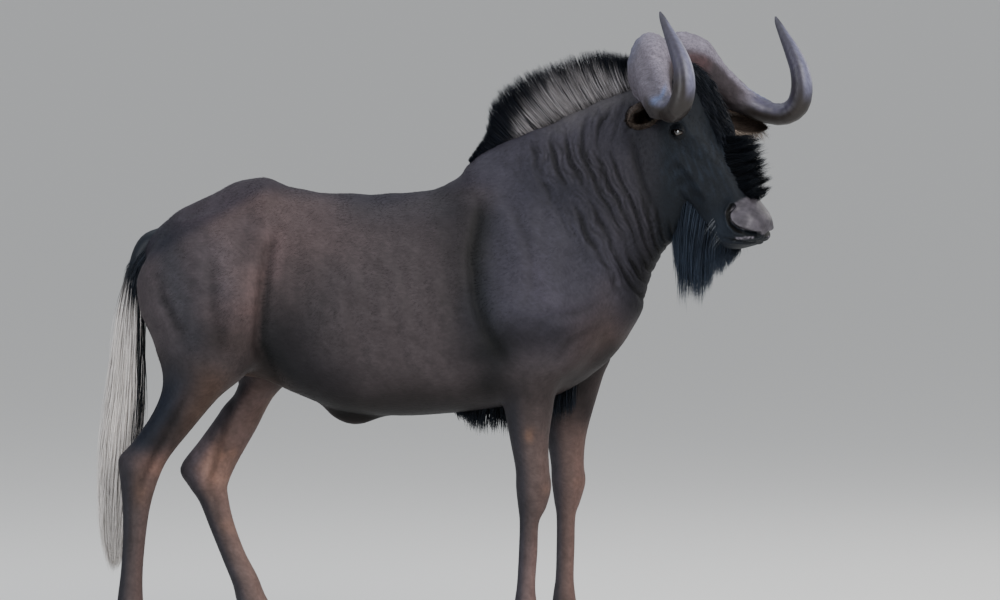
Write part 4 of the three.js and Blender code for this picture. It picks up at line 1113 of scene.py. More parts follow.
def spikes(roots, ways, normals, length, width, rise, sink=0.8):
    """Closed spikes: a triangle sunk in the skin, a smaller one half way and a tip. The corners lie at
    a turn's thirds, wide across the way and a quarter as thick along the normal."""
    side = np.cross(normals, ways)
    turn = np.radians([90, 210, 330])
    offset = (
        side[:, None] * (np.cos(turn)[:, None] * width[:, None, None] / 2)
        + normals[:, None] * (np.sin(turn)[:, None] * width[:, None, None] / 8)
    )
    base = roots - normals * sink
    half = roots + ways * (0.5 * length)[:, None] + normals * (0.75 * rise)[:, None]
    tip = roots + ways * length[:, None] + normals * rise[:, None]
    rings = np.concatenate([base[:, None] + offset, half[:, None] + 0.75 * offset, tip[:, None]], 1)
    quads = np.array([[0, 1, 4, 3], [1, 2, 5, 4], [2, 0, 3, 5]])
    triangles = np.array([[0, 2, 1], [3, 4, 6], [4, 5, 6], [5, 3, 6]])
    return repeated(rings.reshape(-1, 3), len(SPIKE_SHARE), quads, triangles)


def on_head_skin(points):
    """One on the head's skin, nothing on the rest."""
    return (in_head(points)[:, 0] > -118) & (points[:, 0] > 600)


# Pieces of the short coat: name, share of all tufts, length and width of a tuft, how far it stands
# out, and which places they grow on
COAT_PIECES = [
    ("coat_right", 0.27, 9, 1.5, 0.7, lambda p: (p[:, 1] < 0) & (limb_share(p) < 0.5) & (p[:, 0] < 250)),
    ("coat_left", 0.22, 9, 1.5, 0.7, lambda p: (p[:, 1] >= 0) & (limb_share(p) < 0.5) & (p[:, 0] < 250)),
    ("coat_neck", 0.2, 10, 1.5, 0.8, lambda p: (limb_share(p) < 0.5) & (p[:, 0] >= 250) & ~on_head_skin(p)),
    ("coat_head", 0.14, 7, 1.1, 0.6, on_head_skin),
    ("coat_limbs", 0.17, 7, 1.3, 0.6, lambda p: (limb_share(p) >= 0.5) & (p[:, 2] > 40)),
]


def skin_chart(points):
    """The skin unwrapped: across, the place along the body or down the head; up, the turn round it."""
    x, y, z = points.T
    turn = np.arctan2(y, z - 860) / (2 * np.pi) + 0.5
    body = np.stack([np.interp(x, [-650, 920], [0.01, 0.99]), 0.01 + 0.97 * turn], 1)
    down, out, left = in_head(points).T
    round_head = np.arctan2(left, out + 30) / (2 * np.pi) + 0.5
    head = np.stack([np.interp(down, [-180, 300], [0.01, 0.99]), 0.01 + 0.97 * round_head], 1)
    number = (x > 0) * 2 + (y > 0)
    middle = np.array([-430.0, -300.0, 340.0, 420.0])[number]
    round_limb = np.arctan2(y - np.sign(y) * 99, x - middle) / (2 * np.pi) + 0.5
    limb = np.stack([np.interp(z, [0, 760], [0.01, 0.98]), 0.01 + (number + 0.95 * round_limb) * 0.245], 1)
    chart = np.where((limb_share(points) >= 0.5)[:, None], limb, body)
    return np.where(on_head_skin(points)[:, None], head, chart)


PATCH = 0.003


def patches(centres, across, along):
    """Map places of tufts: each a small square at its root's place, its root to its tip along one side."""
    offset = np.stack(np.broadcast_arrays(across, along), -1) - 0.5
    return (centres[:, None] + PATCH * offset).reshape(-1, 2)


def coat_piece(count, length, width, rise, where, skin, seed):
    """One piece of the short coat: its shape, tints and map places."""
    mesh, points, normals, shade = skin
    hairy = coat_tint(points)[:, 3]

    def weight(middles):
        near_face = fade(in_head(middles)[:, 0], 150, 260)
        return where(middles) * (1 + 0.6 * near_face)

    corners, shares = spots_on(mesh, points, weight, count, seed)
    keep = (hairy[corners] * shares).sum(1) > 0.6
    corners, shares = corners[keep], shares[keep]
    roots = (points[corners] * shares[..., None]).sum(1)
    outs = unit((normals[corners] * shares[..., None]).sum(1))
    ways = lie_of_coat(roots)
    ways = unit(ways - outs * (ways * outs).sum(1)[:, None])
    draw = np.random.default_rng(seed + 1)
    size = draw.uniform(0.7, 1.25, len(roots))
    fine = 1 - 0.45 * fade(in_head(roots)[:, 0], 100, 230) - 0.3 * fade(roots[:, 2], 260, 120)
    size = size * fine
    shape = spikes(
        roots, ways, outs, length * size, width * fine * draw.uniform(0.8, 1.2, len(roots)),
        rise * fine * draw.uniform(0.3, 1.3, len(roots)),
    )
    tint = coat_tint(roots)
    uneven = 0.15 + 0.3 * on_head_skin(roots)
    # each tuft lighter or darker at random, and darkened by the painted shade of the skin under it
    light = (1 + uneven * draw.uniform(-1, 1, len(roots))) * (shade[corners] * shares).sum(1)
    tint[:, :3] *= light[:, None]
    tone = np.array([0.95, 0.95, 0.95, 1.0, 1.0, 1.0, 1.08])
    tints = tint[:, None] * np.stack([tone, tone, tone, np.ones(7)], 1)
    chart = patches(skin_chart(roots), SPIKE_ACROSS, 0.05 + 0.9 * SPIKE_SHARE)
    return shape, np.clip(tints.reshape(-1, 4), 0, 1), chart


# Long hair: flat tapered strands, bent along their length; their thickness is a share of their width
SEGMENTS = 6
SIDES = 3
STRAND_DEPTH = 0.3


def strands(roots, tips, sag, flat, width, thickness):
    """Closed strands: the place along one is its root plus a share of the way to its tip, plus the sag
    times four shares of what is left; the width falls to a point; each ring is a flat triangle."""
    share = np.arange(SEGMENTS + 1) / SEGMENTS
    bow = 4 * share * (1 - share)
    line = roots[:, None] + (tips - roots)[:, None] * share[:, None] + sag[:, None] * bow[:, None]
    way = unit((tips - roots)[:, None] + sag[:, None] * (4 - 8 * share)[:, None])
    normal = unit(np.cross(way, np.broadcast_to(flat[:, None], way.shape)))
    across = np.cross(normal, way)
    taper = (1 - share**2.2) * (0.6 + 0.4 * np.sin(np.pi * np.minimum(share * 1.6 + 0.15, 1)))
    aside = across[:, :-1] * (width[:, None] * taper / 2)[:, :-1, None]
    above = normal[:, :-1] * (thickness[:, None] * taper)[:, :-1, None]
    body = line[:, :-1]
    rings = np.stack([body + aside, body + above, body - aside], 2)
    count = SIDES * SEGMENTS + 1
    points = np.concatenate([rings.reshape(len(roots), -1, 3), line[:, -1:]], 1).reshape(-1, 3)
    quads, spot, after = tube_quads(SEGMENTS, SIDES)
    last = (SEGMENTS - 1) * SIDES
    point = np.stack([last + spot, last + after, np.full(SIDES, count - 1)], 1)
    return repeated(points, count, quads, np.concatenate([point, [[2, 1, 0]]]))


STRAND_SHARE = np.append(np.repeat(np.arange(SEGMENTS) / SEGMENTS, SIDES), 1.0)
STRAND_ACROSS = np.append(np.tile([1.0, 0.5, 0.0], SEGMENTS), 0.5)


def strand_chart(across, up):
    """Map places of strands, from the places of their roots across and up the map."""
    return patches(np.stack([across, up], 1), STRAND_ACROSS, STRAND_SHARE)


def strand_tint(first, second, turn, softness, tone, root=1.0):
    """Colour of each point of strands: the first up to the turn of its share, then the second, and
    darker by the factor root where the strand starts, painted shade deep in the hair."""
    share = fade(STRAND_SHARE[None] - turn[:, None], -softness, softness)[..., None]
    light = root + (1 - root) * fade(STRAND_SHARE, 0, 0.34)
    tint = (first + (second - first) * share) * (tone[:, None] * light)[..., None]
    return np.concatenate([np.clip(tint, 0, 1), np.ones((*tint.shape[:2], 1))], 2).reshape(-1, 4)


def neck_swing(x):
    """How far the neck swings aside at a distance along the body."""
    rows = np.array(NECK, float)
    return np.interp(x, rows[:, 0], rows[:, 4], left=0)


def over_neck(rows):
    """Points of the side view moved aside with the neck."""
    x, z = np.array(rows, float).T
    return np.stack([x, neck_swing(x), z], 1)


# Fields of long hair: the lines of their roots and tips, how deep the roots sink, half width, how far
# the tips lean out, the strands' width, their sag, how unruly the tips are, how far the roots climb at
# the sides, the strands' reach, how much shorter those at the first end are, the number of clumps and
# how much the tips are drawn into them, and how bright they are: painted light on the beard and chin,
# which hang in shade, and painted shade on the nose brush, which faces the light
FIELD = {"across": CHEEK, "sink": 3, "lift": 0, "blunt": 0, "clumps": 60, "pull": 0.6, "tone": 1.0}
BROW_LINE = [[-150, 52], [-110, 63], [-70, 65], [-30, 61], [10, 55], [50, 49]]
BEARD_EDGE = [[664, -56, 920], [672, -82, 832], [702, -104, 803], [746, -136, 868], [794, -158, 932]]
CHEST_LINE = [[160, 0, 590], [220, 0, 596], [300, 0, 606], [380, 0, 630], [440, 0, 656]]
CHEST_EDGE = [[172, 0, 548], [205, 0, 511], [285, 0, 500], [365, 0, 512], [430, 0, 552]]


def hair_fields():
    """The fields of long hair by name."""
    down, out = np.array(BROW_LINE, float).T
    chin = on_head([232, 246, 260, 272], [-78, -78, -73, -62], 0)
    return {
        "mane": dict(
            FIELD, roots=over_neck(CREST), tips=over_neck(MANE_EDGE), across=LEFT, sink=6, half=17,
            lean=4, width=2.8, sag=(-6, 0, 2), wild=2.5, seed=101, reach=(0.97, 1.10), clumps=160, pull=0.3,
        ),
        "beard": dict(
            FIELD, roots=on_head([14, 68, 138, 208, 262], [-97, -89, -75, -67, -61], 0),
            tips=np.array(BEARD_EDGE, float), sink=4, half=50, lean=-30, width=3.4, sag=(-7, 4, 3),
            wild=7, seed=102, lift=34, reach=(0.7, 1.1), pull=0.55, tone=3.4,
        ),
        "nose_brush": dict(
            FIELD, roots=on_head([34, 72, 112, 152, 192], [28, 25, 22, 21, 22], 0),
            tips=on_head([96, 130, 160, 190, 212], [150, 143, 127, 109, 76], 0), half=27, lean=4,
            width=2.8, sag=(4, 0, -5), wild=5, seed=103, lift=-8, reach=(0.55, 1.07), blunt=0.05,
            clumps=55, tone=0.52,
        ),
        "chest_fringe": dict(
            FIELD, roots=np.array(CHEST_LINE, float), tips=np.array(CHEST_EDGE, float), across=LEFT,
            sink=8, half=42, lean=-8, width=4.0, sag=(-5, 0, -2), wild=8, seed=104, reach=(0.6, 1.04),
            pull=0.55,
        ),
        "forelock": dict(
            FIELD, roots=on_head(down, out, 0),
            tips=on_head(down + 52, np.interp(down + 52, down, out) + 9, 0), half=40,
            lean=-4, width=2.6, sag=(0, 0, 3), wild=9, seed=108, lift=-7, reach=(0.45, 1.1),
        ),
        "chin": dict(
            FIELD, roots=chin, tips=chin + np.array([-6.0, 2.0, -46.0]), half=26, lean=-8, width=2.4,
            sag=(3, -1, 0), wild=4, seed=107, lift=6, reach=(0.4, 1.05), clumps=20, tone=2.4,
        ),
    }


def gather(along, beside, span, field, draw):
    """Places of tips drawn to the middle of the nearest clump, and a share for each clump's own reach."""
    count = field["clumps"]
    middle_along = (np.arange(count) + draw.uniform(size=count)) / count
    middle_beside = draw.uniform(-0.9, 0.9, count)
    apart = (span * (along[:, None] - middle_along)) ** 2 + (beside[:, None] - middle_beside) ** 2
    nearest = apart.argmin(1)
    pulled_along = along + field["pull"] * (middle_along[nearest] - along)
    pulled_beside = beside + field["pull"] * (middle_beside[nearest] - beside)
    return pulled_along, pulled_beside, draw.uniform(0, 1, count)[nearest]


def field_strands(field, count):
    """Strands of one field of hair between its lines of roots and tips: their shape, their map places,
    the place of each along the field, and the draw of random numbers."""
    draw = np.random.default_rng(field["seed"])
    along = (np.arange(count) + draw.uniform(size=count)) / count
    beside = draw.uniform(-1, 1, count)
    last = len(field["roots"]) - 1
    span = np.linalg.norm(np.diff(field["roots"], axis=0), axis=1).sum() / field["half"]
    tip_along, tip_beside, clump_reach = gather(along, beside, span, field, draw)
    low, high = field["reach"]
    reach = low + (high - low) * (0.6 * clump_reach + 0.4 * draw.uniform(size=count))
    reach = reach * (1 - 0.12 * beside**2) * (1 - field["blunt"] * fade(along, 0.3, 0))
    roots = along_rows(field["roots"], along * last)
    tips = along_rows(field["tips"], np.clip(tip_along, 0, 1) * last)
    roots = roots - unit(tips - roots) * field["sink"]
    tips = roots + (tips - roots) * reach[:, None]
    across = field["across"]
    roots = roots + BROW * (field["lift"] * beside**2)[:, None]
    aside = beside * field["half"] * np.sin(np.pi * np.clip(along, 0.06, 0.94)) ** 0.4
    roots = roots + across * aside[:, None]
    tips = tips + across * (tip_beside * (field["half"] + field["lean"]))[:, None]
    tips = tips + draw.normal(0, field["wild"], (count, 3)) * [0.6, 0.6, 0.4]
    sag = np.array(field["sag"]) * draw.uniform(0.3, 1.7, (count, 1)) + draw.normal(0, 1.6, (count, 3))
    flat = np.roll(roots, -40, 0) - roots
    flat = unit(unit(flat) + draw.normal(0, 0.7, (count, 3)))
    width = field["width"] * draw.uniform(0.6, 1.2, count)
    shape = strands(roots, tips, sag, flat, width, width * STRAND_DEPTH)
    return shape, strand_chart(0.01 + 0.98 * along, 0.5 + 0.48 * beside), along, draw


def mane_turn(along, draw):
    """Where along a strand the pale base of the mane gives way to its black tip: lower at the rear,
    at one height in each tuft, and nowhere on a few black strands."""
    high = fade(along, 0.17, 0.42)
    tuft = np.sin(along * 190) + np.sin(along * 71 + 1)
    arch = bell(along - 0.68, 0.2)
    pale = (0.38 + 0.36 * arch + 0.05 * tuft) * high - 0.2 * (1 - high)
    pale = pale + draw.uniform(-0.12, 0.12, len(along))
    return np.where(draw.uniform(size=len(along)) < 0.12, -1, pale)


# Whiskers and lashes
def whisker_strands(count):
    """Stiff hairs on the lips' sides, down and outwards: their shape and map places."""
    draw = np.random.default_rng(109)
    hand = np.where(draw.uniform(size=count) < 0.5, -1, 1)
    down = draw.uniform(204, 262, count)
    up = draw.uniform(0, 14, count)
    out = np.interp(down, [206, 227, 243, 258, 270], [-54, -61, -68, -66, -58]) + up
    rows = np.array(HEAD, float)
    top, under, half = (np.interp(down, rows[:, 0], rows[:, column]) for column in (1, 3, 4))
    share = np.clip((2 * out - top - under) / (top - under), -1, 1)
    aside = half * (1 - np.abs(share) ** 2.6) ** (1 / 2.6)
    ways = unit(FACE * 0.6 - BROW * 0.8 + CHEEK * (0.55 * hand)[:, None] + draw.normal(0, 0.14, (count, 3)))
    roots = on_head(down, out, hand * aside) - ways * 3
    tips = roots + ways * draw.uniform(16, 44, count)[:, None]
    sag = np.array([0, 0, 4.0]) * draw.uniform(0, 1, (count, 1))
    width = draw.uniform(0.6, 0.95, count)
    shape = strands(roots, tips, sag, np.cross(ways, UP), width, width * 0.6)
    return shape, strand_chart(0.01 + 0.98 * (down - 190) / 90, 0.5 + 0.3 * hand)


def lash_strands(count):
    """Lashes along the upper lids, outwards, forwards and a little up: their shape and map places."""
    draw = np.random.default_rng(110)
    hand = np.where(draw.uniform(size=count) < 0.5, -1, 1)
    spot = draw.uniform(-0.95, 0.95, count)
    lift = unit(np.cross(SLANT, CHEEK))
    high = ALMOND[1] * (1 - np.abs(spot) ** ALMOND_POWER) ** (1 / ALMOND_POWER)
    over = SLANT * (spot * ALMOND[0])[:, None] + lift * high[:, None]
    reach = np.sqrt((EYE_RADIUS + LID_THICKNESS) ** 2 - (over**2).sum(1))
    roots = on_head(0, 0, hand * EYE_SPREAD) + over + CHEEK * (hand * (reach - 2))[:, None]
    ways = unit(CHEEK * hand[:, None] * 0.8 + lift * 0.35 + FACE * 0.35 + draw.normal(0, 0.15, (count, 3)))
    tips = roots + ways * draw.uniform(8, 14, count)[:, None]
    width = draw.uniform(0.8, 1.2, count)
    shape = strands(roots, tips, lift * -1.5 + 0 * roots, SLANT + 0 * roots, width, width * 0.6)
    return shape, strand_chart(0.5 + 0.4 * spot, 0.5 + 0.3 * hand)


# Tail: hair of the dock, and long hair round the tail's axis
def round_strands(roots, tips, sag, turn, start, width):
    """Strands that lie round the tail: their shape and map places."""
    flat = np.stack([-np.sin(turn), np.cos(turn), 0 * turn], 1)
    shape = strands(roots, tips, sag, flat, width, width * STRAND_DEPTH)
    return shape, strand_chart(0.01 + 0.98 * start, 0.01 + 0.97 * turn / (2 * np.pi))


def tail_strands(count, colours):
    """Long strands hung round the dock and down the tail's axis, white with black hair at the root."""
    draw = np.random.default_rng(105)
    turn = draw.uniform(0, 2 * np.pi, count)
    start = draw.uniform(0.0, 0.62, count) ** 1.15
    length = draw.uniform(0.34, 0.52, count)
    end = np.minimum(start + length, draw.uniform(0.9, 1.0, count))
    last = len(TAIL_AXIS) - 1

    def at(spot, share):
        x, z, along, across = along_rows(TAIL_AXIS, spot * last).T
        return np.stack([x + np.cos(turn) * along * share, np.sin(turn) * across * share, z], 1)

    depth = draw.uniform(0.25, 0.7, count)
    roots = at(start, depth)
    tips = at(end, draw.uniform(0.35, 1.05, count))
    middle = at((start + end) / 2, depth + 0.45 * draw.uniform(0.5, 1.0, count))
    sag = middle - (roots + tips) / 2
    tips += draw.normal(0, 4, (count, 3))
    shape, chart = round_strands(roots, tips, sag, turn, start, draw.uniform(1.8, 3.6, count))
    streak = (np.cos(turn) > 0.55) & (start < 0.42) & (draw.uniform(size=count) < 0.8)
    top = (start < 0.05) & (draw.uniform(size=count) < 0.97) & ~streak
    dark = (streak | top)[:, None]
    first = np.where(dark, colours["black"], colours["tail"])[:, None]
    second = np.where(dark & ~top[:, None], colours["black"] * 1.6, colours["tail"])[:, None]
    turn_down = draw.uniform(0.5, 0.8, count) * np.where(top, 0.35, 1.0)
    tint = strand_tint(first, second, turn_down, 0.15, draw.uniform(0.75, 1.0, count))
    return shape, tint, chart


def dock_strands(count, colours):
    """Black hair hanging along the dock, from the croup down over the roots of the tail."""
    draw = np.random.default_rng(106)
    turn = draw.uniform(0, 2 * np.pi, count)
    start = draw.uniform(0, 1, count) * np.where(np.cos(turn) > 0.35, 0.8, 0.34)
    last = len(DOCK) - 1
    x, z, radius = along_rows(DOCK, start * last).T
    out = np.stack([np.cos(turn), np.sin(turn), 0.3 + 0 * turn], 1)
    roots = np.stack([x, 0 * x, z], 1) + out * (0.55 * radius)[:, None]
    x2, z2, radius2 = along_rows(DOCK, np.minimum(start + 0.34, 1) * last).T
    tips = np.stack([x2, 0 * x2, z2 - 30], 1) + out * (radius2 + draw.uniform(4, 13, count))[:, None]
    sag = out * draw.uniform(2, 6, count)[:, None]
    shape, chart = round_strands(roots, tips, sag, turn, start, draw.uniform(3.0, 5.0, count))
    tone = draw.uniform(0.7, 1.5, count)
    tint = strand_tint(colours["black"], colours["black"] * 1.8, np.full(count, 0.6), 0.3, tone)
    return shape, tint, chart


# Horns: sweeps with a rough boss, which ends at a share of their length, and rings along the shaft
BOSS_END = 0.42
HORN_AROUND = 64


def horn_shape(hand, colours):
    """A horn's sweep: a boss roughened by noise that ends in a lip, then a smooth shaft with faint
    rings, with its colours from the place along it, and painted sky reflection, highlights and shade from
    the way that each point faces."""
    rows = refine(HORN, 8)
    points = POLL + FORWARD * rows[:, :1] + CHEEK * (hand * rows[:, 1:2])
    line_share = np.linspace(0, 1, len(rows))
    points[:, 2] = rows[:, 2] + np.interp(line_share, [0.25, 0.53, 1], HORN_LIFT[hand])
    across = CHEEK * hand - 0.58 * FORWARD
    rings = sweep(points, rows[:, [4, 3]], across, HORN_AROUND)
    share = line_share[:, None] * np.ones(HORN_AROUND)
    out = unit(rings - points[:, None])
    facing = out @ (CHEEK * hand)
    edge = BOSS_END + 0.075 * fade(facing, 0.0, 0.6)
    boss = fade(share - edge, 0.02, -0.03)
    flat = rings.reshape(-1, 3)
    pits = ripple(flat, 7, 41).reshape(boss.shape) + 0.7 * ripple(flat, 3.4, 42).reshape(boss.shape)
    folds = ripple(flat * [1, 1, 0.35], 12, 43).reshape(boss.shape)
    smooth = (1 - boss) * 0.25 * folds * fade(share, 0.7, 0.4)
    rough = boss * (np.minimum(pits, 0.4) + folds) + smooth
    growth = 0.35 * np.sin(share * 210) * fade(share, BOSS_END, 0.46) * fade(share, 0.75, 0.55)
    outer = out @ unit(CHEEK * hand * 0.8 + UP * 0.5 - FORWARD * 0.3)
    lip = 5.5 * fade(share, 0.27, 0.38) * fade(share - edge, 0.012, -0.012) * fade(outer, -0.4, 0.4)
    rear = out @ unit(CHEEK * hand * 0.7 - UP * 0.5 - FORWARD)
    full = 8 * fade(share, 0.2, 0.32) * fade(share - edge, 0.0, -0.05) * fade(rear, 0.0, 0.7)
    rings = rings + out * (rough + growth + lip + full)[..., None]
    shape = closed(rings)
    spots = shape[0]
    along = np.append(share.ravel(), [0, 1])
    faces = np.concatenate([out.reshape(-1, 3), np.zeros((2, 3))])
    edge = np.append(edge.ravel(), [BOSS_END, BOSS_END])
    boss = np.append(boss.ravel(), [1.0, 0.0])
    aside = faces @ (CHEEK * hand)
    speckle = np.clip(ripple(spots, 4, 45) * 1.6 - 0.3, 0, 1) * boss
    # painted sky reflection: blue on the boss's upward back and at its end
    blue = colours["shaft"] * [2.2, 3.1, 3.6]
    back = fade(faces @ unit(UP * 0.7 - FORWARD), 0.55, 0.95) * boss
    end = bell(along - edge + 0.03, 0.024) * fade(aside, -0.1, 0.4)
    tint = layered(
        np.broadcast_to(colours["shaft"], spots.shape),
        (colours["boss"], boss),
        (colours["tip"], fade(along, 0.75, 0.95)),
        (colours["boss"] * 0.5, 0.4 * speckle),
        (blue, np.clip(0.4 * back + 0.9 * end, 0, 1)),
    )
    # painted light on the horn's upper side and painted shade on its forward inner side, near the base
    inner = unit(FORWARD - CHEEK * hand)
    lit_top = fade(faces @ unit(UP + inner), 0.2, 0.8) * fade(along, 0.55, 0.4)
    shadow = fade(faces @ unit(inner - UP * 0.45), 0.18, 0.62) * fade(along, 0.46, 0.36)
    # a darker, redder patch on the boss's forward inner side: painted shade over its reddish colour
    boss_red_shade = fade(faces @ unit(inner + UP * 0.2), 0.8, 0.97) * fade(along, 0.27, 0.2)
    boss_red_shade = boss_red_shade * fade(along, 0.1, 0.16)
    # painted shade: a dark band below the boss's lip, and the underside of the bend
    gap = bell(along - edge - 0.018, 0.02) * fade(faces[:, 2], 0.6, 0.0)
    outer_low = fade(faces @ unit(0.9 * CHEEK * hand - UP), 0.05, 0.5)
    under = np.maximum(outer_low, fade(faces[:, 2], 0.35, -0.25))
    under = under * fade(along, 0.36, 0.44) * fade(along, 0.76, 0.66)
    # painted highlight: bluish light on the forward side of the rising shaft
    bright = fade(faces @ FORWARD, 0.6, 0.95) * fade(along, 0.62, 0.7) * fade(along, 0.95, 0.85)
    tint = layered(
        tint * (1 + 1.1 * lit_top)[:, None],
        (colours["boss"] * [0.20, 0.15, 0.13], 0.92 * shadow),
        (colours["boss"] * [0.8, 0.42, 0.37], 0.7 * boss_red_shade),
        (colours["tip"] * [0.36, 0.37, 0.24], 0.85 * gap * fade(aside, -0.2, 0.3)),
        (colours["tip"] * [0.34, 0.27, 0.17], 0.97 * under),
        (blue * [2.2, 1.7, 1.4], 0.7 * bright),
    )
    return shape, np.concatenate([tint, boss[:, None]], 1)


def horn_material(name, speckle):
    """Horn: the tint attribute with grain, and rough dark speckles where the tint's alpha is high."""
    material, shader, graph = new_material(name, 0.46, specular=0.35)
    tint, rough = graph.tint()
    height, _ = graph.grain(40.0)
    colour = graph.lit(tint, graph.spread(height, 0.3, 0.7, 0.7, 1.2))
    if speckle:
        place = graph.add("TexCoord", "Object")
        pits = graph.add("TexNoise", "Fac", {"Vector": place, "Scale": 260.0, "Detail": 3.0})
        share = graph.math("MULTIPLY", graph.spread(pits, 0.47, 0.6, 0.0, speckle), rough)
        colour = graph.mixed("MIX", share, colour, (0.035, 0.028, 0.03))
        graph.put(shader.inputs["Roughness"], graph.spread(rough, 0.0, 1.0, 0.42, 0.8))
        height = graph.math("SUBTRACT", height, share)
    graph.put(shader.inputs["Base Color"], colour)
    graph.bump(shader, height, 0.45)
    return material


# Eyes: balls with a cornea and a level pupil
def eye_shape(hand, colours):
    """An eyeball: rings round its outward axis, pushed out over the iris, coloured by the distance
    from the middle of the iris, with a wide level pupil."""
    centre = on_head(0, 0, hand * EYE_SPREAD)
    out, long_way = CHEEK * hand, SLANT
    lift = np.cross(out, long_way)
    polar = np.radians(np.linspace(2, 178, 60))[:, None]
    turn = (np.arange(72) / 72 * 2 * np.pi)[None]
    bulge = 1.6 * fade(np.degrees(polar), 46, 20)
    radius = EYE_RADIUS - 0.4 + bulge
    cap = radius * np.cos(polar) * np.ones_like(turn)
    a, b = radius * np.sin(polar) * np.cos(turn), radius * np.sin(polar) * np.sin(turn)
    rings = centre + out * cap[..., None] + long_way * a[..., None] + lift * b[..., None]
    pupil = fade(np.hypot(a / 8.0, b / 3.6), 1.1, 0.9)
    iris = fade(np.hypot(a, b), 12.5, 11.5) * (cap > 0)
    white = np.array([0.05, 0.035, 0.03])
    tint = blend(np.broadcast_to(white, (a.size, 3)), colours["iris"], iris.ravel())
    tint = blend(tint, [0.001, 0.001, 0.0015], (pupil * (cap > 0)).ravel())
    tint = np.concatenate([tint, [[0.001] * 3, white]])
    return closed(rings), np.concatenate([tint, np.ones((len(tint), 1))], 1)


# Ears: a leaf rolled into a cup
EARS = {
    "ear_right": (on_head(-77, -40, -80), on_head(-43, -18, -225)),
    "ear_left": (on_head(-58, -38, 80), on_head(12, 20, 207.6)),
}
EAR_ROWS = [
    [-0.10, 0, 17, 17, 168], [0.02, 0, 21, 20, 168], [0.12, 0, 24, 24, 164], [0.3, 0, 26, 30, 150],
    [0.6, 0, 22, 28, 134], [0.85, 4, 12, 16, 112], [0.96, 7, 5.5, 7, 98], [1.0, 8, 1.5, 2, 92],
]


def ear_frame(name):
    """Root, axis, the way that the cup opens, and the way across it."""
    root, tip = EARS[name]
    axis = tip - root
    mouth = FACE * 0.5 + BROW * 0.9
    opening = unit(mouth - axis * (mouth @ axis) / (axis @ axis))
    return root, axis, opening, unit(np.cross(axis, opening))


def ear_shape(name, colours):
    """An ear's shell: each ring runs round the back from rim to rim, then back along the inside of
    the cup, a wall's thickness in; the rims draw apart from the root to the tip."""
    root, axis, opening, across = ear_frame(name)
    share, lift, deep, wide, reach = refine(EAR_ROWS, 6).T
    steps = 36
    swing = np.linspace(-1, 1, steps)
    turn = np.radians(reach)[:, None] * swing
    wall = np.clip(np.minimum(deep, wide) * 0.5, 0.5, 3.2)[:, None]

    def arc(inset):
        return (
            (root + axis * share[:, None] + opening * lift[:, None])[:, None]
            - opening * (np.cos(turn) * (deep[:, None] - inset))[..., None]
            + across * (np.sin(turn) * (wide[:, None] - inset))[..., None]
        )

    outer, inner = arc(0), arc(wall)[:, ::-1]
    rings = np.concatenate([outer, inner], 1)
    shape = closed(rings)
    round_it = np.concatenate([swing, swing[::-1]])
    lower = fade(-round_it * across[2], -0.2, 0.6)
    rim = np.abs(round_it) ** 16 * (0.05 + 0.6 * lower) * np.ones((len(share), 1))
    inside = np.concatenate([np.zeros(steps), np.ones(steps)]) * np.ones((len(share), 1))
    deep_in = inside * (1 - np.abs(round_it)) * fade(share, 0.9, 0.3)[:, None]
    patchy = 0.5 + 0.5 * ripple(shape[0][: rim.size], 30, 51)
    # the inside of the cup lighter, more so deep in it: painted light against the cup's shade
    tint = blend(np.broadcast_to(colours["ear"], (rim.size, 3)), colours["ear"] * 1.1, inside.ravel())
    tint = blend(tint, colours["ear_rim"], rim.ravel() * patchy)
    tint = blend(tint, colours["ear"] * 1.4, fade(deep_in, 0.3, 0.8).ravel())
    tint = np.concatenate([tint, tint[[0, -1]]])
    return shape, np.concatenate([tint, np.ones((len(tint), 1))], 1)


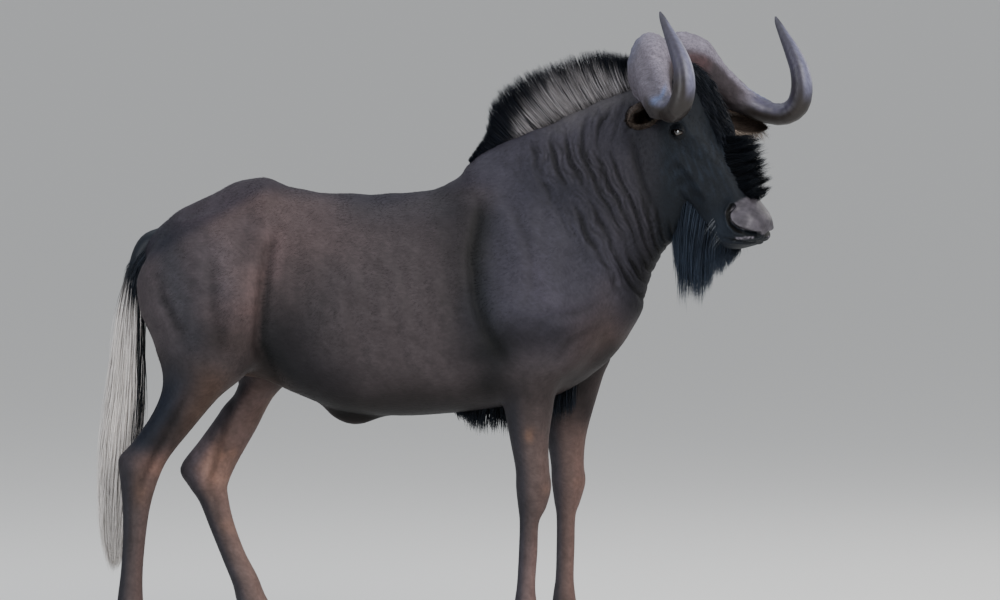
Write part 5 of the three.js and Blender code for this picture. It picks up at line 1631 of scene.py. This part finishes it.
def ear_hairs(name, colours, count, seed):
    """Hairs on an ear: short ones lying outwards on its back, longer pale ones from its rims and brown
    ones inside the cup."""
    root, axis, opening, across = ear_frame(name)
    draw = np.random.default_rng(seed)
    place_along = draw.uniform(0.02, 0.97, count)
    rows = refine(EAR_ROWS, 6)
    _, lift, deep, wide, reach = (np.interp(place_along, rows[:, 0], column) for column in rows.T)
    roll = draw.uniform(size=count)
    at_rim, within = roll < 0.45, roll > 0.7
    side = np.sign(draw.uniform(-1, 1, count))
    swing = np.where(at_rim, side * draw.uniform(0.9, 1.0, count), draw.uniform(-0.95, 0.95, count))
    deep, wide = deep - 4.0 * within, wide - 4.0 * within
    turn = np.radians(reach) * swing
    out = unit(-opening * np.cos(turn)[:, None] + across * np.sin(turn)[:, None])
    roots = (
        root + axis * place_along[:, None] + opening * lift[:, None]
        - opening * (np.cos(turn) * (deep - 0.6))[:, None] + across * (np.sin(turn) * (wide - 0.6))[:, None]
    )
    low_rim = at_rim & (side * across[2] < 0)
    far = name == "ear_left"
    inward = opening * 0.35 - across * (side * 0.95)[:, None]
    ways = np.where(at_rim[:, None], unit(axis) * 0.5 + inward, unit(axis) + out * 0.12)
    ways = np.where(low_rim[:, None] & far, unit(axis) * 0.5 + opening * 0.3 - UP * 0.8, ways)
    ways = np.where(within[:, None], opening + unit(axis) * 0.6, ways)
    ways = unit(ways + draw.normal(0, 0.2, (count, 3)))
    length = np.where(at_rim, draw.uniform(4, 11, count), draw.uniform(6, 10, count))
    length = length * (1 + 1.9 * low_rim * far) * (1 + 1.2 * within)
    width = draw.uniform(0.9, 1.5, count)
    shape = spikes(roots, ways, out, length, width, draw.uniform(0.3, 1.5, count), 0.4)
    pale = np.where(low_rim, 1.1 + 2.2 * far, 0.45)
    tone = draw.uniform(0.1, 1.2, (count, 1)) * pale[:, None]
    base = np.where(at_rim[:, None], colours["ear_rim"], colours["ear"])
    # hairs inside the cup lighter: painted light against the cup's shade
    tint = base * tone * (1 + 3.5 * within)[:, None]
    tints = np.repeat(np.concatenate([tint, np.ones((count, 1))], 1), 7, 0)
    centres = np.stack([0.01 + 0.98 * place_along, 0.5 + 0.48 * swing], 1)
    return shape, np.clip(tints, 0, 1), patches(centres, SPIKE_ACROSS, SPIKE_SHARE)


# Hooves: two claws on each foot and two dewclaws behind it. A claw from the sole to the coronet: share
# of the height, rear, and shares of the length and width
CLAW_ROWS = [
    [0, 5, 0.985, 0.94], [1.5 / 46, 4, 1, 0.96], [0.26, 1, 0.93, 0.99], [0.62, 3, 0.81, 0.9],
    [0.94, 8, 0.69, 0.74], [1, 12, 0.64, 0.6],
]


def claw_rings(x, y, turn):
    """A claw: squarish egg rings from the sole up to the coronet, with faint rings of growth."""
    rows = np.array(CLAW_ROWS) * [HOOF["height"], 1, HOOF["length"], HOOF["width"]]
    z, rear, front, wide = refine(rows, 8).T
    high = np.stack([rear, 0 * z, z], 1)
    low = np.stack([front, 0 * z, z], 1)
    growth = 0.3 * np.sin(z * 1.1) * fade(z, 4, 10)
    rings = oval_rings(high, low, LEFT, wide / 2 + growth, 0 * z + 2.3, 0 * z + 0.2, 40)
    swing = np.array([[np.cos(turn), np.sin(turn), 0], [-np.sin(turn), np.cos(turn), 0], [0, 0, 1]])
    return rings @ swing + [x, y, 0]


# Dewclaw: back and up from the pastern, and its half sizes
DEWCLAW_LINE = [(9, 8), (2, 4), (-4, -4), (-6, -13), (-5, -17)]
DEWCLAW_SIZES = [[9, 8], [10, 9], [9, 8], [6, 5.5], [1.5, 1.5]]


def dewclaw_rings(rear, y, z):
    """A dewclaw: a short blunt cone that points down and back behind the pastern."""
    path = [[rear + back, y, z + rise] for back, rise in DEWCLAW_LINE]
    return sweep(refine(path, 4), refine(DEWCLAW_SIZES, 4), np.array([1.0, 0, 0.3]), 20)


# Settings
def words(key):
    """A key as words."""
    return key.replace("_", " ").capitalize()


def colour_properties(colours):
    """Colour properties for a table of colours."""
    return {
        key: bpy.props.FloatVectorProperty(
            name=words(key), description=text, default=value, subtype="COLOR", size=3, min=0, max=1
        )
        for key, (value, text) in colours.items()
    }


class CoatSettings(bpy.types.PropertyGroup):
    """Sizes and colours of the skin and its short coat."""

    __annotations__ = {
        **colour_properties(COAT_COLOURS),
        "depth": bpy.props.FloatProperty(
            name="Coat depth", description="How far the skin lies inside the solids",
            default=0.003, subtype="DISTANCE", unit="LENGTH", min=0.001, max=0.01,
        ),
        "tufts": bpy.props.IntProperty(
            name="Tufts", description="Number of tufts of the short coat", default=60000, min=1000,
        ),
    }


class HairSettings(bpy.types.PropertyGroup):
    """Numbers and colours of the long hair."""

    __annotations__ = {
        **colour_properties(HAIR_COLOURS),
        **{
            key + "_count": bpy.props.IntProperty(
                name=words(key) + " count", description="Number of strands or hairs", default=count, min=10
            )
            for key, count in HAIR_COUNTS.items()
        },
    }


class KeratinSettings(bpy.types.PropertyGroup):
    """Colours of the horns, hooves and eyes."""

    __annotations__ = colour_properties(KERATIN_COLOURS)


class StageSettings(bpy.types.PropertyGroup):
    """Colour of the floor and strength of the lights."""

    __annotations__ = {
        "floor": bpy.props.FloatVectorProperty(
            name="Floor", description="Pale floor and background", default=(0.78, 0.77, 0.74),
            subtype="COLOR", size=3, min=0, max=1,
        ),
        "key": bpy.props.FloatProperty(
            name="Key light", description="Power of the large light above", default=300.0,
            subtype="POWER", unit="POWER", min=0,
        ),
    }


def colours_of(settings, table):
    """The colours of a settings group as arrays by their keys."""
    return {key: np.array(getattr(settings, key)) for key in table}


LIMB_PARTS = ("forearm", "thigh", "cannon_fore", "cannon_hind")
SKIN_NODES = (
    "torso", "neck", "head",
    *(part + side for part in LIMB_PARTS for side in ("_right", "_left")),
)


class WILDEBEEST_OT_skin(bpy.types.Operator):
    """Make the skin and the short coat that grows on it"""

    bl_idname = "wildebeest.skin"
    bl_label = "Skin and short coat"

    def execute(self, context):
        settings = context.scene.wildebeest_coat
        skin = skin_shape(settings.depth / MM)
        mesh, points, _, shade = skin
        material = hair_material("ShortCoat", 0.6, 0.14, 60.0, 0.14, bump=0.5, bare=True)
        tufts = hair_material("CoatTufts", 0.6, 0.14, 60.0, 0.1)
        for number, (name, share, *sizes, where) in enumerate(COAT_PIECES):
            count = int(settings.tufts * share)
            shape, tint, chart = coat_piece(count, *sizes, where, skin, 201 + number)
            new_piece(name, shape, tufts, "coat", (), tint, chart, smooth=False)
        # the skin's tint darkened by its painted shade in the folds and creases
        set_tint(mesh, coat_tint(points) * np.stack([shade, shade, shade, 0 * shade + 1], 1))
        mesh.vertices.foreach_set("co", (points * MM + SHIFT).astype(np.float32).ravel())
        mesh.polygons.foreach_set("use_smooth", np.ones(len(mesh.polygons), bool))
        mesh.materials.append(material)
        mesh.update()
        place(bpy.data.objects.new("skin", mesh), "coat", SKIN_NODES)
        return {"FINISHED"}


class WILDEBEEST_OT_eyes(bpy.types.Operator):
    """Make the eyeballs"""

    bl_idname = "wildebeest.eyes"
    bl_label = "Eyes"

    def execute(self, context):
        colours = colours_of(context.scene.wildebeest_keratin, KERATIN_COLOURS)
        material, shader, graph = new_material("WetEye", 0.12, coat=1.0)
        graph.put(shader.inputs["Base Color"], graph.tint()[0])
        for name, hand in (("eye_right", -1), ("eye_left", 1)):
            shape, tints = eye_shape(hand, colours)
            new_piece("ball_" + name, shape, material, "eye", (name,), tints)
        return {"FINISHED"}


class WILDEBEEST_OT_horns(bpy.types.Operator):
    """Make the horns"""

    bl_idname = "wildebeest.horns"
    bl_label = "Horns"

    def execute(self, context):
        colours = colours_of(context.scene.wildebeest_keratin, KERATIN_COLOURS)
        material = horn_material("HornKeratin", 0.36)
        for name, hand in (("horn_right", -1), ("horn_left", 1)):
            shape, tints = horn_shape(hand, colours)
            new_piece("grown_" + name, shape, material, "horn", (name,), tints)
        return {"FINISHED"}


class WILDEBEEST_OT_ears(bpy.types.Operator):
    """Make the ears and their hair"""

    bl_idname = "wildebeest.ears"
    bl_label = "Ears"

    def execute(self, context):
        settings = context.scene.wildebeest_hair
        colours = colours_of(settings, HAIR_COLOURS)
        shell = hair_material("EarSkin", 0.65, 0.15, 60.0, 0.2, bump=0.4)
        tufts = hair_material("EarHair", 0.6, 0.15, 60.0, 0.1)
        for number, name in enumerate(EARS):
            shape, tints = ear_shape(name, colours)
            new_piece("leaf_" + name, shape, shell, "ear", (name,), tints)
            shape, tints, chart = ear_hairs(name, colours, settings.ear_count, 301 + number)
            new_piece("hair_" + name, shape, tufts, "ear", (), tints, chart, smooth=False)
        return {"FINISHED"}


class WILDEBEEST_OT_hooves(bpy.types.Operator):
    """Make the claws and dewclaws of the four feet"""

    bl_idname = "wildebeest.hooves"
    bl_label = "Hooves"

    def execute(self, context):
        colours = colours_of(context.scene.wildebeest_keratin, KERATIN_COLOURS)
        material = horn_material("HoofKeratin", 0.0)
        spread_out = (HOOF["width"] + HOOF["parting"]) / 2
        for foot, (rows, _, side, stance, x) in LIMBS.items():
            rear, high, *_ = rows[-4]
            y = side * stance
            forms, covers = [], []
            for hand in (-1, 1):
                outer = "outer" if hand * y > 0 else "inner"
                forms.append(closed(claw_rings(x, y + hand * spread_out, hand * HOOF["splay"])))
                forms.append(closed(dewclaw_rings(rear + 3, y + hand * 15, high - 10)))
                covers.append("claw_" + foot + "_" + outer)
            shape = joined(forms)
            height = shape[0][:, 2]
            plain = np.broadcast_to(colours["hoof"], shape[0].shape)
            tint = blend(plain, colours["hoof"] * 2.2, fade(height, 20, 2))
            new_piece("hoof_" + foot, shape, material, "hoof", covers, tint)
        return {"FINISHED"}


class WILDEBEEST_OT_long_hair(bpy.types.Operator):
    """Make the mane, beard, nose brush and chest fringe"""

    bl_idname = "wildebeest.long_hair"
    bl_label = "Mane, beard, nose brush and chest fringe"

    def execute(self, context):
        settings = context.scene.wildebeest_hair
        colours = colours_of(settings, HAIR_COLOURS)
        material = hair_material("LongHair", 0.5, 0.11, 90.0, 0.12)
        for name, field in hair_fields().items():
            count = getattr(settings, name + "_count")
            shape, chart, along, draw = field_strands(field, count)
            tone = draw.uniform(0.6, 1.25, count)
            if name == "mane":
                turn = mane_turn(along, draw)
                tone = 0.65 + 0.55 * draw.uniform(size=count) ** 2
                # painted shade at the mane's roots
                tint = strand_tint(colours["mane_pale"], colours["mane_dark"], turn, 0.17, tone, 0.65)
            else:
                # the field's tone: painted light on the beard and chin, painted shade on the nose brush
                base = colours["forelock" if name == "forelock" else "black"] * field["tone"]
                tint = strand_tint(base, base * 2.0, np.full(count, 0.7), 0.3, tone**1.4)
            slot = "mane" if name == "mane" else "dark_hair"
            covers = () if name in ("chin", "forelock") else (name,)
            new_piece("hair_" + name, shape, material, slot, covers, tint, chart)
        for name, make, colour in (
            ("whiskers", whisker_strands, colours["tail"] * [0.22, 0.25, 0.29]),
            ("lashes", lash_strands, colours["black"]),
        ):
            shape, chart = make(getattr(settings, name + "_count"))
            tint = np.broadcast_to(colour, shape[0].shape)
            new_piece(name, shape, material, "dark_hair", (), tint, chart)
        return {"FINISHED"}


class WILDEBEEST_OT_tail(bpy.types.Operator):
    """Make the tail's dock, its black hair and its long pale hair"""

    bl_idname = "wildebeest.tail"
    bl_label = "Tail"

    def execute(self, context):
        settings = context.scene.wildebeest_hair
        colours = colours_of(settings, HAIR_COLOURS)
        material = hair_material("TailHair", 0.5, 0.2, 90.0, 0.12)
        rows = refine(DOCK, 5)
        path = np.stack([rows[:, 0], 0 * rows[:, 0], rows[:, 1]], 1)
        core = closed(sweep(path, rows[:, [2, 2]] * 0.9, np.array([1.0, 0, 0]), 32))
        tint = np.broadcast_to(colours["black"], core[0].shape)
        new_piece("dock", core, material, "dark_hair", ("tail_dock",), tint)
        shape, tint, chart = dock_strands(settings.dock_count, colours)
        new_piece("hair_dock", shape, material, "dark_hair", (), tint, chart)
        shape, tint, chart = tail_strands(settings.tail_count, colours)
        new_piece("hair_tail", shape, material, "tail_hair", ("tail_hair",), tint, chart)
        return {"FINISHED"}


# Camera and lights: place, size, share of the key light's power, and colour
CAMERA_TARGET = (0.1019, 0.0977, 0.819)
CAMERA_DISTANCE = 18.0
CAMERA_ELEVATION = 3.0
CAMERA_LENS = 285.0
FLOOR_HALF = 400.0
LIGHT_TARGET = (0.1, 0.0, 0.8)
LIGHTS = {
    "key": ((2.6, -4.2, 3.8), 3.0, 1.0, (1.0, 0.98, 0.95)),
    "sky": ((-0.6, 0.6, 4.8), 4.5, 0.4, (0.86, 0.91, 1.0)),
    "fill": ((-3.8, -4.2, 1.8), 3.0, 0.6, (0.92, 0.95, 1.0)),
    "rim": ((3.4, 2.8, 2.6), 2.0, 0.15, (1.0, 0.97, 0.93)),
}


def aimed(name, data, spot, way):
    """Links a camera or a light that stands at a spot and looks along a way."""
    thing = bpy.data.objects.new(name, data)
    thing.location = spot
    thing.rotation_mode = "QUATERNION"
    thing.rotation_quaternion = way.to_track_quat("-Z", "Y")
    bpy.context.scene.collection.objects.link(thing)
    return thing


class WILDEBEEST_OT_stage(bpy.types.Operator):
    """Make the camera, the pale floor and the soft lights"""

    bl_idname = "wildebeest.stage"
    bl_label = "Camera, floor and lights"

    def execute(self, context):
        settings = context.scene.wildebeest_stage
        tilt = np.radians(CAMERA_ELEVATION)
        look = Vector((0, np.cos(tilt), -np.sin(tilt)))
        lens = bpy.data.cameras.new("Camera")
        lens.lens = CAMERA_LENS
        lens.clip_end = 1000.0
        spot = Vector(CAMERA_TARGET) - look * CAMERA_DISTANCE
        context.scene.camera = aimed("Camera", lens, spot, look)

        mesh = bpy.data.meshes.new("Floor")
        corners = [(x * FLOOR_HALF, y * FLOOR_HALF, 0) for x, y in ((-1, -1), (1, -1), (1, 1), (-1, 1))]
        mesh.from_pydata(corners, [], [(0, 1, 2, 3)])
        material, shader, _ = new_material("PaleFloor", 0.8)
        shader.inputs["Base Color"].default_value = (*settings.floor, 1)
        mesh.materials.append(material)
        floor = bpy.data.objects.new("Floor", mesh)
        context.scene.collection.objects.link(floor)

        for name, (spot, size, share, colour) in LIGHTS.items():
            light = bpy.data.lights.new(name, "AREA")
            light.shape = "DISK"
            light.size = size
            light.energy = settings.key * share
            light.color = colour
            aimed(name, light, spot, Vector(LIGHT_TARGET) - Vector(spot))

        world = bpy.data.worlds.new("Studio")
        world.use_nodes = True
        sky = world.node_tree.nodes["Background"]
        sky.inputs["Color"].default_value = (0.88, 0.91, 0.96, 1)
        sky.inputs["Strength"].default_value = 0.6
        context.scene.world = world
        return {"FINISHED"}


OPERATORS = (
    WILDEBEEST_OT_stage,
    WILDEBEEST_OT_skin,
    WILDEBEEST_OT_eyes,
    WILDEBEEST_OT_horns,
    WILDEBEEST_OT_ears,
    WILDEBEEST_OT_hooves,
    WILDEBEEST_OT_long_hair,
    WILDEBEEST_OT_tail,
)
SETTINGS = {
    "wildebeest_coat": CoatSettings,
    "wildebeest_hair": HairSettings,
    "wildebeest_keratin": KeratinSettings,
    "wildebeest_stage": StageSettings,
}


class WILDEBEEST_PT_panel(bpy.types.Panel):
    """The wildebeest's settings and pieces"""

    bl_idname = "WILDEBEEST_PT_panel"
    bl_label = "Black Wildebeest"
    bl_space_type = "VIEW_3D"
    bl_region_type = "UI"
    bl_category = "Wildebeest"

    def draw(self, context):
        for name, group in SETTINGS.items():
            box = self.layout.box()
            for key in group.__annotations__:
                box.prop(getattr(context.scene, name), key)
        for operator in OPERATORS:
            self.layout.operator(operator.bl_idname)


CLASSES = (*SETTINGS.values(), *OPERATORS, WILDEBEEST_PT_panel)


def register():
    """Adds the settings, the operators and the panel to Blender."""
    for group in CLASSES:
        bpy.utils.register_class(group)
    for name, group in SETTINGS.items():
        setattr(bpy.types.Scene, name, bpy.props.PointerProperty(type=group))


def unregister():
    """Takes them away again."""
    for name in SETTINGS:
        delattr(bpy.types.Scene, name)
    for group in reversed(CLASSES):
        bpy.utils.unregister_class(group)


def main():
    register()
    for operator in OPERATORS:
        group, name = operator.bl_idname.split(".")
        getattr(getattr(bpy.ops, group), name)()


if __name__ == "__main__":
    main()
